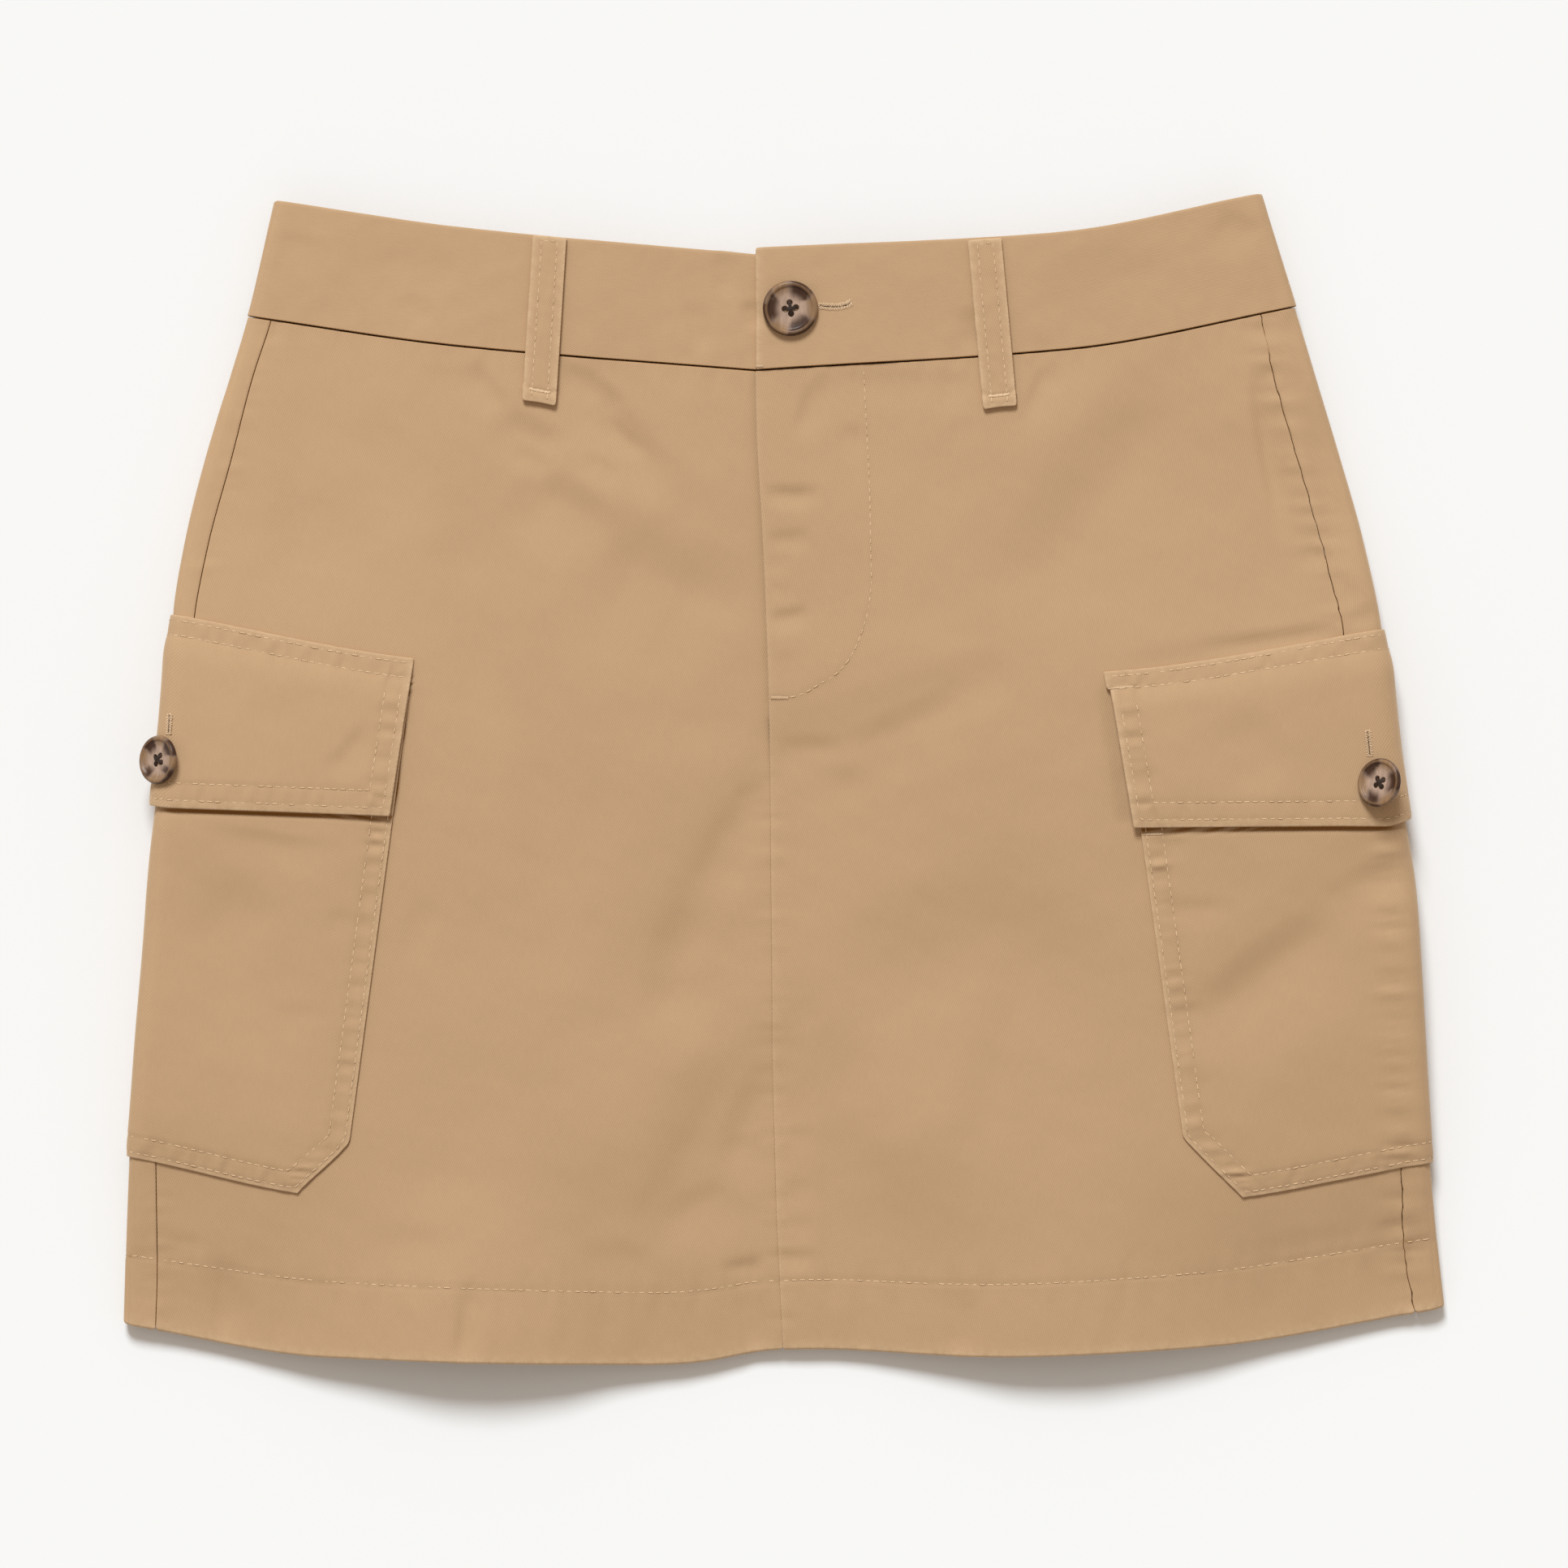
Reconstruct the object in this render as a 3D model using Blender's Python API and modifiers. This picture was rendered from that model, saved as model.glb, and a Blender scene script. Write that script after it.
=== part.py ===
"""A khaki cotton cargo skirt lying on its back: waist towards +Y, +Z up, centre front near X = 0.

All the cloth is cut from one flattened tube. RINGS gives the tube's cross-sections from the top of
the waistband to the hem. Stations stand round each ring, from the centre front over one side fold,
across the back, over the other side fold and back to the centre front. A cloth piece is a patch of
that grid, moved out by its own lift and thickened inwards, so pieces that lie on each other share
their points. Lengths in the tables are millimetres and the objects are in metres.
"Under" is the side (-X) whose front runs on below the fly, "over" the side (+X) that laps over it.
"""

import math
from functools import lru_cache

import bpy
from mathutils import Matrix, Vector

MM = 0.001
UNDER, OVER = -1, 1

# Walls of cloth, and the gaps between pieces that meet at a seam or lie on each other.
PANEL_WALL = 1.1
HEM_WALL = 2.2
POCKET_WALL = 1.1
FLAP_WALL = 1.8
BAND_WALL = 2.4
LOOP_WALL = 1.6
SEAM_GAP = 0.3
LAY_GAP = 0.3

# One row for each ring: in how many steps it goes to the next one, then x and y at the under fold,
# x of the under seam, y on the under pocket line, x and y at the centre front, y on the over pocket
# line, x of the over seam, x and y at the over fold.
RING_COLUMNS = (
    "name", "steps", "under_x", "under_y", "under_seam", "under_line",
    "centre_x", "centre_y", "over_line", "over_seam", "over_x", "over_y",
)
RINGS = (
    ("band top", 2, -189.1, 215.9, -181.0, 205.5, -10.8, 197.1, 204.1, 164.5, 177.3, 218.6),
    ("waist seam", 2, -199.1, 173.2, -191.0, 162.4, -10.6, 153.3, 161.4, 177.5, 190.0, 176.8),
    ("high hip", 2, -206.0, 150.0, -198.4, 138.0, -10.2, 129.0, 137.0, 182.6, 197.1, 153.0),
    ("hip", 2, -215.4, 120.0, -206.2, 107.0, -8.4, 97.5, 106.0, 191.4, 206.5, 122.0),
    ("low hip", 2, -223.0, 89.0, -214.5, 75.0, -6.9, 66.5, 73.5, 200.9, 216.0, 88.0),
    ("flap top", 1, -227.2, 61.4, -219.6, 45.0, -5.8, 34.0, 40.5, 208.6, 222.4, 55.9),
    ("pocket mouth", 2, -227.7, 46.0, -220.7, 31.0, -5.5, 21.5, 26.5, 210.3, 223.4, 41.0),
    ("flap middle", 2, -229.3, 20.0, -222.3, 9.0, -5.2, 0.0, 5.0, 213.2, 225.8, 14.0),
    ("flap bottom", 2, -232.5, -10.2, -225.0, -13.6, -5.0, -22.0, -17.4, 216.4, 230.0, -16.4),
    ("upper pocket", 2, -235.3, -34.0, -227.0, -38.5, -4.8, -45.0, -41.0, 219.1, 233.9, -40.0),
    ("middle pocket", 2, -237.7, -66.0, -229.2, -71.0, -4.5, -77.0, -73.0, 222.5, 236.0, -71.0),
    ("lower pocket", 2, -240.4, -98.0, -231.4, -104.0, -4.2, -111.0, -105.0, 225.9, 237.9, -102.0),
    ("clipped corner", 1, -242.4, -124.0, -233.0, -135.3, -3.4, -141.0, -133.5, 228.3, 239.4, -125.0),
    ("pocket bottom", 2, -243.8, -141.1, -234.2, -156.5, -2.8, -163.0, -158.0, 230.2, 240.7, -143.5),
    ("hem stitch", 2, -245.4, -178.0, -234.0, -187.6, -1.6, -193.5, -184.3, 231.4, 243.3, -171.7),
    ("hem", 0, -246.2, -204.1, -234.8, -216.0, -0.3, -220.2, -212.1, 235.8, 246.2, -198.0),
)

# The same rings from the side: the height of the front cloth at the side folds, on the swell at each
# side's middle and at the centre front, how far the back cloth lies above the surface at the pockets
# and in the middle, and how far the centre front seam draws the cloth up towards the waist.
HEIGHT_COLUMNS = ("side", "swell", "centre", "back_side", "back_middle", "drawn_up")
HEIGHTS = (
    ("band top", 11.0, 11.0, 10.8, 2.55, 2.55, 0.0),
    ("waist seam", 11.0, 11.0, 10.8, 2.55, 2.55, 0.0),
    ("high hip", 12.0, 12.0, 10.8, 1.9, 1.9, 0.0),
    ("hip", 13.0, 13.0, 10.6, 0.6, 0.4, 0.0),
    ("low hip", 14.5, 14.0, 10.4, 0.3, 0.0, 0.0),
    ("flap top", 16.5, 14.8, 10.0, 2.1, 0.0, 0.0),
    ("pocket mouth", 17.4, 15.0, 9.8, 3.5, 0.0, 0.0),
    ("flap middle", 18.0, 15.0, 9.4, 3.5, 0.0, 0.0),
    ("flap bottom", 18.0, 15.0, 9.0, 3.5, 0.0, 0.0),
    ("upper pocket", 17.0, 15.0, 8.5, 1.4, 0.0, 0.0),
    ("middle pocket", 16.2, 15.0, 8.0, 1.4, 0.0, 0.0),
    ("lower pocket", 15.4, 15.0, 7.4, 1.4, 0.0, 0.0),
    ("clipped corner", 14.8, 15.0, 6.8, 1.4, 0.0, 0.0),
    ("pocket bottom", 14.2, 15.0, 6.2, 1.4, 0.0, 1.0),
    ("hem stitch", 13.2, 15.0, 5.4, 0.0, 0.0, 6.0),
    ("hem", 12.8, 15.0, 4.8, 0.0, 0.0, 6.6),
)

# The largest soft troughs in the front cloth: from (x, y) to (x, y), half width and depth.
TROUGHS = (
    ("below the fly", 1.0, 13.0, 74.0, 36.0, 15.0, 1.5),
    ("beside the seam", -8.0, -3.0, -42.0, -60.0, 15.0, 1.6),
    ("above the hem", -5.0, -103.0, -46.0, -166.0, 16.0, 1.4),
    ("under hip", -135.0, 73.0, -87.0, -60.0, 24.0, 1.3),
    ("under waist", -68.0, 148.0, -40.0, 100.0, 15.0, 1.0),
    ("over hip", 147.0, 145.0, 62.0, 66.0, 22.0, 1.3),
    ("across the pocket", 225.0, -27.0, 158.0, -88.0, 19.0, 1.5),
)

# The pocket lines are straight: x at one y, and how x changes with y. The pockets' lower corners
# are clipped this far in from them.
POCKET_LINE = {UNDER: (-137.6, 45.0, 0.1333), OVER: (132.7, -19.2, -0.138)}
CLIP_WIDTH = {UNDER: 16.9, OVER: 19.2}

# Where stations stand: between the centre front and the pocket line, between the clipped corner and
# the side seam, round the fold, back to the clipped corner, and from the pocket line to the centre back.
FRONT_PARTS = (0.0, 0.11, 0.27, 0.42, 0.56, 0.7, 0.85, 1.0)
SEAM_PARTS = (0.0, 0.27, 0.53, 0.77, 1.0)
FOLD_STEPS = 8
RETURN_PARTS = (0.25, 0.5, 0.75, 1.0)
BACK_PARTS = (0.0, 0.16, 0.34, 0.66)
BACK_RISE_ENDS = 0.34

# The swell stands this share of the way from the centre front to the pocket line, and a fold is this
# many times as deep as half its height.
SWELL_PLACE = 0.6
FOLD_DEPTH = {UNDER: 0.85, OVER: 1.2}
SHORTER_AT_BACK = 1.2
DRAWN_UP_WIDTH = {UNDER: 25.0, OVER: 55.0}

# The front closing: how far the under front and the under end of the band run on below the over
# ones, the share of the front where they lie flat on each other and where that has faded out, and
# how far up and down the two ends of the band are shifted at its top.
FLY_UNDERLAP = 12.0
BAND_UNDERLAP = 28.0
LAP_FLAT, LAP_FADED = 0.27, 0.56
BAND_END_SHIFT = 1.15

# A flap stands off its pocket towards the lower edge. Its front edge lies this far in from the
# pocket line, at the top and at the bottom.
FLAP_STAND_OFF = 1.5
FLAP_EDGE_IN = {UNDER: (0.0, 1.2), OVER: (-5.2, -3.2)}

# Belt loops: x of a front loop at the top and at its lower end, x of a back loop.
LOOP_WIDTH = 13.0
FRONT_LOOPS = (("belt_loop_front_under", -87.3, -91.3), ("belt_loop_front_over", 74.8, 80.6))
BACK_LOOPS = (("belt_loop_back_under", -96.0), ("belt_loop_back_centre", -6.0), ("belt_loop_back_over", 84.0))
LOOP_LENGTH = 61.5
LOOP_BELOW_TOP = 0.5
LOOP_BOW = 0.9
LOOP_ROWS = 10
LOOP_TURNED = 7.0
LOOP_TURNED_WALL = 2.6

# A button as shares of its radius, from the top of the axis out over the rim and down to the back.
# Its turn, in degrees, is where the first of its four holes stands.
BUTTON_PROFILE = (
    (0.0, 0.22), (0.42, 0.22), (0.7, 0.25), (0.79, 0.31), (0.88, 0.35), (0.96, 0.31),
    (1.0, 0.2), (0.94, 0.09), (0.74, 0.0), (0.0, 0.0),
)
BUTTON_STEPS = 28
BUTTON_HOLE_PLACE = 0.19
BUTTON_HOLE_RADIUS = 0.09
BUTTON_HOLE_SIDES = 8
WAIST_BUTTON = {"diameter": 20.6, "x": 2.4, "y": 175.3, "turn": 0.0}
POCKET_BUTTON_DIAMETER = 18.2
POCKET_BUTTON_TURN = 45.0
# Where a pocket button stands round the fold, at which y, how far its axis leans from the cloth's
# outward direction, and how far it is raised for that.
POCKET_BUTTONS = {
    UNDER: {"fold_part": 0.2, "y": 6.7, "lean": (0.0, 0.0, 0.0), "raised": 0.0},
    OVER: {"fold_part": 0.06, "y": -1.8, "lean": (-0.6, 0.18, 0.0), "raised": 2.95},
}

KHAKI = (0.56, 0.37, 0.2)
HORN = (0.17, 0.1, 0.065)

RING_NUMBER = {ring[0]: number for number, ring in enumerate(RINGS)}
BAND_TOP, WAIST_SEAM = RING_NUMBER["band top"], RING_NUMBER["waist seam"]
FLAP_TOP, POCKET_MOUTH = RING_NUMBER["flap top"], RING_NUMBER["pocket mouth"]
FLAP_BOTTOM, POCKET_BOTTOM = RING_NUMBER["flap bottom"], RING_NUMBER["pocket bottom"]
HEM_STITCH, HEM = RING_NUMBER["hem stitch"], RING_NUMBER["hem"]


def mix(start, end, share):
    return start + (end - start) * share


def ease(share):
    """0 to 1 with level ends."""
    share = min(max(share, 0.0), 1.0)
    return share * share * (3 - 2 * share)


def smooth_through(places, values, at):
    """A smooth curve through the values at rising places, which never overshoots them."""
    last = len(places) - 1
    slopes = [(values[n + 1] - values[n]) / (places[n + 1] - places[n]) for n in range(last)]
    n = 0
    while n < last - 1 and at > places[n + 1]:
        n += 1

    def tangent(k):
        if k in (0, last):
            return slopes[min(k, last - 1)]
        before, after = slopes[k - 1], slopes[k]
        return 0.0 if before * after <= 0 else 2 * before * after / (before + after)

    width = places[n + 1] - places[n]
    part = (at - places[n]) / width
    if not 0 <= part <= 1:
        near = n if part < 0 else n + 1
        return values[near] + tangent(near) * (at - places[near])
    rise = values[n + 1] - values[n]
    bend_in, bend_out = tangent(n) * width - rise, rise - tangent(n + 1) * width
    return mix(values[n], values[n + 1], part) + part * (1 - part) * mix(bend_in, bend_out, part)


@lru_cache(maxsize=None)
def ring_at(row):
    """The named values of the ring at a row, which may lie between two rings of the tables."""
    places = range(len(RINGS))
    ring = {}
    for table, columns in ((RINGS, RING_COLUMNS[2:]), (HEIGHTS, HEIGHT_COLUMNS)):
        skipped = len(table[0]) - len(columns)
        for n, column in enumerate(columns):
            ring[column] = smooth_through(places, [values[n + skipped] for values in table], row)
    for side, name in ((UNDER, "under"), (OVER, "over")):
        x, y, slope = POCKET_LINE[side]
        ring[side] = {
            "edge": ring[name + "_x"],
            "seam": ring[name + "_seam"],
            "line": x + slope * (ring[name + "_line"] - y),
        }
    return ring


def ring_y(ring, x):
    """Where a ring crosses x, seen from above."""
    side, name = (OVER, "over") if x > ring["centre_x"] else (UNDER, "under")
    places = [ring["centre_x"] * side, ring[side]["line"] * side, ring[side]["edge"] * side]
    values = [ring["centre_y"], ring[name + "_line"], ring[name + "_y"]]
    away = (x - ring["centre_x"]) / DRAWN_UP_WIDTH[side]
    return smooth_through(places, values, x * side) + ring["drawn_up"] * math.exp(-(away**2))


def trough_depth(x, y):
    """How far the troughs take the front cloth down at a place."""
    depth = 0.0
    for _, x0, y0, x1, y1, half_width, deepest in TROUGHS:
        start, along = Vector((x0, y0)), Vector((x1 - x0, y1 - y0))
        place = Vector((x, y)) - start
        part = min(max(place.dot(along) / along.length_squared, 0.0), 1.0)
        away = (place - along * part).length / half_width
        depth += deepest * (1 - away * away) ** 2 if away < 1 else 0.0
    return depth


def fold_start(ring, side):
    """x where the front cloth starts to turn down into a side fold, and half the fold's height."""
    half_height = (ring["side"] - ring["back_side"] - PANEL_WALL / 2) / 2
    return ring[side]["edge"] - side * FOLD_DEPTH[side] * half_height, half_height


def front_height(ring, x, y):
    side = OVER if x > ring["centre_x"] else UNDER
    swell_x = mix(ring["centre_x"], ring[side]["line"], SWELL_PLACE)
    if abs(x - ring["centre_x"]) < abs(swell_x - ring["centre_x"]):
        share = (x - ring["centre_x"]) / (swell_x - ring["centre_x"])
        height = mix(ring["centre"], ring["swell"], ease(share))
    else:
        share = (x - swell_x) / (fold_start(ring, side)[0] - swell_x)
        height = mix(ring["swell"], ring["side"], ease(share))
    return height - trough_depth(x, y)


def tube_point(row, station, lap=0.0):
    """A point of the tube's middle surface. lap is how far the front ends are parted at the fly."""
    side, zone, part = station
    ring = ring_at(row)
    line, seam = ring[side]["line"], ring[side]["seam"]
    clip = line + side * CLIP_WIDTH[side]
    start_x, half_height = fold_start(ring, side)
    behind, lapped, shifted, rise_share = 0.0, 0.0, 0.0, 1.0
    if zone == "front":
        x = mix(ring["centre_x"], line, part)
        lapped = 1 - ease((part - LAP_FLAT) / (LAP_FADED - LAP_FLAT))
        shifted = 1 - part
    elif zone == "underlap":
        x = ring["centre_x"] - part
        lapped = shifted = 1.0
    elif zone == "seam":
        x = mix(clip, seam, part)
    elif zone == "fold":
        x = start_x + side * FOLD_DEPTH[side] * half_height * math.sin(math.pi * part)
        behind = (1 - math.cos(math.pi * part)) / 2
    elif zone == "return":
        x = mix(start_x, clip, part)
        behind = 1.0
    else:
        x = mix(line, ring["centre_x"], part)
        behind = 1.0
        rise_share = 1 - ease(part / BACK_RISE_ENDS)

    y = ring_y(ring, x)
    y += behind * SHORTER_AT_BACK * (max(0.0, row - HEM_STITCH) - max(0.0, WAIST_SEAM - row))
    y += side * shifted * BAND_END_SHIFT * max(0.0, WAIST_SEAM - row)
    lapped *= 1 - ease(row - POCKET_MOUTH)
    back = PANEL_WALL / 2 + mix(ring["back_middle"], ring["back_side"], rise_share)
    if zone == "fold":
        front = front_height(ring, start_x, y)
        z = mix(front, back, behind)
    elif behind:
        z = back
    else:
        z = front_height(ring, x, y) + side * lapped * lap / 2
    return Vector((x, y, z))


def tube_normal(row, station, lap=0.0):
    """The tube's outward direction at a station."""
    side, zone, part = station
    step = 0.5 if zone == "underlap" else 0.01
    before, after = part - step, part + step
    if zone in ("fold", "return", "back"):
        before, after = max(before, 0.0), min(after, 1.0)
    across = tube_point(row, (side, zone, after), lap) - tube_point(row, (side, zone, before), lap)
    down = tube_point(min(row + 0.02, HEM), station, lap) - tube_point(max(row - 0.02, 0), station, lap)
    return (across.cross(down) * -side).normalized()


def half_ring(side):
    """The stations of one side, from the centre front to just short of the centre back."""
    half = [(side, "front", part) for part in FRONT_PARTS]
    half += [(side, "seam", part) for part in SEAM_PARTS]
    half += [(side, "fold", step / FOLD_STEPS) for step in range(FOLD_STEPS + 1)]
    half += [(side, "return", part) for part in RETURN_PARTS]
    half += [(side, "back", part) for part in BACK_PARTS]
    return half


def between(stations, first, last):
    return stations[stations.index(first) : stations.index(last) + 1]


def rows_between(first, last):
    """The grid's rows from one ring to another, with the steps that RINGS gives."""
    rows = [
        number + step / RINGS[number][1]
        for number in range(first, last)
        for step in range(RINGS[number][1])
    ]
    return rows + [last]


CENTRE_BACK = (UNDER, "back", 1.0)
WHOLE_RING = half_ring(UNDER) + [CENTRE_BACK] + half_ring(OVER)[::-1]


def material(name, colour, roughness):
    made = bpy.data.materials.new(name)
    made.use_nodes = True
    shader = made.node_tree.nodes["Principled BSDF"]
    shader.inputs["Base Color"].default_value = (*colour, 1.0)
    shader.inputs["Roughness"].default_value = roughness
    shader.inputs["Metallic"].default_value = 0.0
    return made


def add_object(name, mesh, collection, colour, roughness):
    mesh.materials.append(material(name, colour, roughness))
    mesh.shade_smooth()
    made = bpy.data.objects.new(name, mesh)
    made.parent = bpy.data.objects["skirt"]
    collection.objects.link(made)
    return made


def solidify(made, wall, thin_share=None):
    """Thickens an open surface inwards. thin_share is the share of the wall outside group 'thick'."""
    shell = made.modifiers.new("wall", "SOLIDIFY")
    shell.thickness = wall * MM
    shell.offset = -1.0
    if thin_share is not None:
        shell.vertex_group = "thick"
        shell.thickness_vertex_group = thin_share


def drawn_in(points, kept, i, j):
    """A grid point, drawn in from each edge of the patch by half a seam's gap."""
    moved = points[i, j].copy()
    for di, dj in ((0, 1), (1, 0)):
        back, ahead = (i - di, j - dj), (i + di, j + dj)
        if (back in kept) != (ahead in kept):
            inwards = points[back if back in kept else ahead] - points[i, j]
            moved += inwards.normalized() * SEAM_GAP / 2
    return moved


def cloth(name, rows, stations, wall, collection, lift=None, lap=0.0, cut=(), clipped=(), edges=None):
    """A cloth piece over rows x stations. cut names cells left out, clipped names corner points
    left off, and edges moves a whole edge in: {station number: (at the first row, at the last)}."""
    half_seam = wall / 2
    cells = [
        [(i, j), (i, j + 1), (i + 1, j + 1), (i + 1, j)]
        for i in range(len(rows) - 1)
        for j in range(len(stations) - 1)
        if (i, j) not in cut
    ]
    faces = [[corner for corner in cell if corner not in clipped] for cell in cells]
    kept = sorted({corner for face in faces for corner in face})
    points = {}
    for i, j in kept:
        row, station = rows[i], stations[j]
        out = half_seam + (lift(row, station) if lift else 0.0)
        points[i, j] = tube_point(row, station, lap) + tube_normal(row, station, lap) * out
    moved = {(i, j): drawn_in(points, set(kept), i, j) for i, j in kept}
    for j, (first, last) in (edges or {}).items():
        inner = j + 1 if j == 0 else j - 1
        for i in range(len(rows)):
            inwards = (points[i, inner] - points[i, j]).normalized()
            moved[i, j] += inwards * mix(first, last, i / (len(rows) - 1))
    number = {corner: n for n, corner in enumerate(kept)}
    mesh = bpy.data.meshes.new(name)
    mesh.from_pydata(
        [moved[corner] * MM for corner in kept],
        [],
        [[number[corner] for corner in face] for face in faces],
    )
    made = add_object(name, mesh, collection, KHAKI, 0.85)
    if rows[-1] == HEM:
        hem = made.vertex_groups.new(name="thick")
        hem.add([number[i, j] for i, j in kept if rows[i] > HEM_STITCH], 1.0, "REPLACE")
        solidify(made, HEM_WALL, PANEL_WALL / HEM_WALL)
    else:
        solidify(made, wall)
    return made


def build_panels(collection):
    """The two fronts and the back, from the waist seam to the hem."""
    rows = rows_between(WAIST_SEAM, HEM)
    under, over = half_ring(UNDER), half_ring(OVER)
    lap = PANEL_WALL + LAY_GAP
    underlap = (UNDER, "underlap", -FLY_UNDERLAP)
    front = [underlap] + between(under, under[0], (UNDER, "seam", 1.0))
    below_fly = {(i, 0) for i, row in enumerate(rows) if row >= POCKET_MOUTH}
    cloth("front_panel_under", rows, front, PANEL_WALL, collection, lap=lap, cut=below_fly)
    front = between(over, over[0], (OVER, "seam", 1.0))[::-1]
    cloth("front_panel_over", rows, front, PANEL_WALL, collection, lap=lap)
    back = between(WHOLE_RING, (UNDER, "seam", 1.0), (OVER, "seam", 1.0))
    cloth("back_panel", rows, back, PANEL_WALL, collection)


def build_waistband(collection):
    """One strip all round, with its over end lapped over its under end at the centre front."""
    ends = [(UNDER, "underlap", -BAND_UNDERLAP), (UNDER, "underlap", -FLY_UNDERLAP)]
    rows = rows_between(BAND_TOP, WAIST_SEAM)
    cloth("waistband", rows, ends + WHOLE_RING, BAND_WALL, collection, lap=BAND_WALL + LAY_GAP)


def pocket_stations(side):
    stations = between(half_ring(side), (side, "front", 1.0), (side, "back", 0.0))
    return stations if side == UNDER else stations[::-1]


def pocket_lift(row, station):
    return PANEL_WALL / 2 + LAY_GAP + POCKET_WALL / 2


def flap_lift(row, station):
    """On the panel at its sewn top edge, over the pocket below it, and standing off in front."""
    _, zone, part = station
    over_pocket = ease(row - FLAP_TOP) * (POCKET_WALL + LAY_GAP)
    in_front = {"fold": 1 - ease(part), "return": 0.0, "back": 0.0}.get(zone, 1.0)
    free = ease((row - POCKET_MOUTH) / (FLAP_BOTTOM - POCKET_MOUTH))
    return PANEL_WALL / 2 + LAY_GAP + FLAP_WALL / 2 + over_pocket + FLAP_STAND_OFF * free * in_front


def build_pockets(collection):
    """Patch pockets over the side seams, each with a buttoned flap."""
    for side, name in ((UNDER, "under"), (OVER, "over")):
        stations = pocket_stations(side)
        last = len(stations) - 1
        rows = rows_between(POCKET_MOUTH, POCKET_BOTTOM)
        corners = {(len(rows) - 1, 0), (len(rows) - 1, last)}
        cloth("pocket_" + name, rows, stations, POCKET_WALL, collection, pocket_lift, clipped=corners)
        edge = {0 if side == UNDER else last: FLAP_EDGE_IN[side]}
        rows = rows_between(FLAP_TOP, FLAP_BOTTOM)
        cloth("flap_" + name, rows, stations, FLAP_WALL, collection, flap_lift, edges=edge)


def row_at(x, y):
    """The row of the tube that passes through a place, seen from above."""
    low, high = float(BAND_TOP), float(HEM)
    for _ in range(40):
        middle = (low + high) / 2
        if ring_y(ring_at(middle), x) > y:
            low = middle
        else:
            high = middle
    return round((low + high) / 2, 6)


def front_place(x, y):
    """A point on the front cloth's middle surface, and the direction out of it."""
    reach = 2.0

    def lifted(at_x, at_y):
        return Vector((at_x, at_y, front_height(ring_at(row_at(at_x, at_y)), at_x, at_y)))

    across = lifted(x + reach, y) - lifted(x - reach, y)
    up = lifted(x, y + reach) - lifted(x, y - reach)
    return lifted(x, y), across.cross(up).normalized()


def build_front_loop(name, top_x, end_x, collection):
    """A folded strip over the band, bowed off it, with its lower end turned under."""
    top_y = ring_y(ring_at(BAND_TOP), top_x) - LOOP_BELOW_TOP
    points = []
    for n in range(LOOP_ROWS + 1):
        part = n / LOOP_ROWS
        place, out = front_place(mix(top_x, end_x, part), top_y - LOOP_LENGTH * part)
        on_band, on_panel = BAND_WALL / 2 + LOOP_WALL, PANEL_WALL / 2 + LOOP_TURNED_WALL
        bow = LOOP_BOW * math.sin(math.pi * part)
        centre = place + out * (mix(on_band, on_panel, part**3) + LAY_GAP + bow)
        across = Vector((LOOP_WIDTH / 2, 0, 0))
        points += [centre - across, centre + across]
    mesh = bpy.data.meshes.new(name)
    faces = [(2 * n, 2 * n + 2, 2 * n + 3, 2 * n + 1) for n in range(LOOP_ROWS)]
    mesh.from_pydata([point * MM for point in points], [], faces)
    made = add_object(name, mesh, collection, KHAKI, 0.85)
    turned = made.vertex_groups.new(name="thick")
    first = LOOP_ROWS - round(LOOP_TURNED / LOOP_LENGTH * LOOP_ROWS)
    turned.add(range(2 * first, 2 * LOOP_ROWS + 2), 1.0, "REPLACE")
    solidify(made, LOOP_TURNED_WALL, LOOP_WALL / LOOP_TURNED_WALL)


def build_back_loop(name, x, collection):
    """A plain flat strip below the back of the band, on the surface that the skirt lies on."""
    top_y = ring_y(ring_at(BAND_TOP), x) - SHORTER_AT_BACK - LOOP_BELOW_TOP
    bpy.ops.mesh.primitive_cube_add(size=1.0)
    strip = bpy.context.object
    mesh = strip.data
    bpy.data.objects.remove(strip)
    mesh.name = name
    size = Vector((LOOP_WIDTH, LOOP_LENGTH, LOOP_WALL)) * MM
    mesh.transform(Matrix.Diagonal((*size, 1.0)))
    made = add_object(name, mesh, collection, KHAKI, 0.85)
    mesh.shade_flat()
    made.location = Vector((x, top_y - LOOP_LENGTH / 2, LOOP_WALL / 2)) * MM


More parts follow.
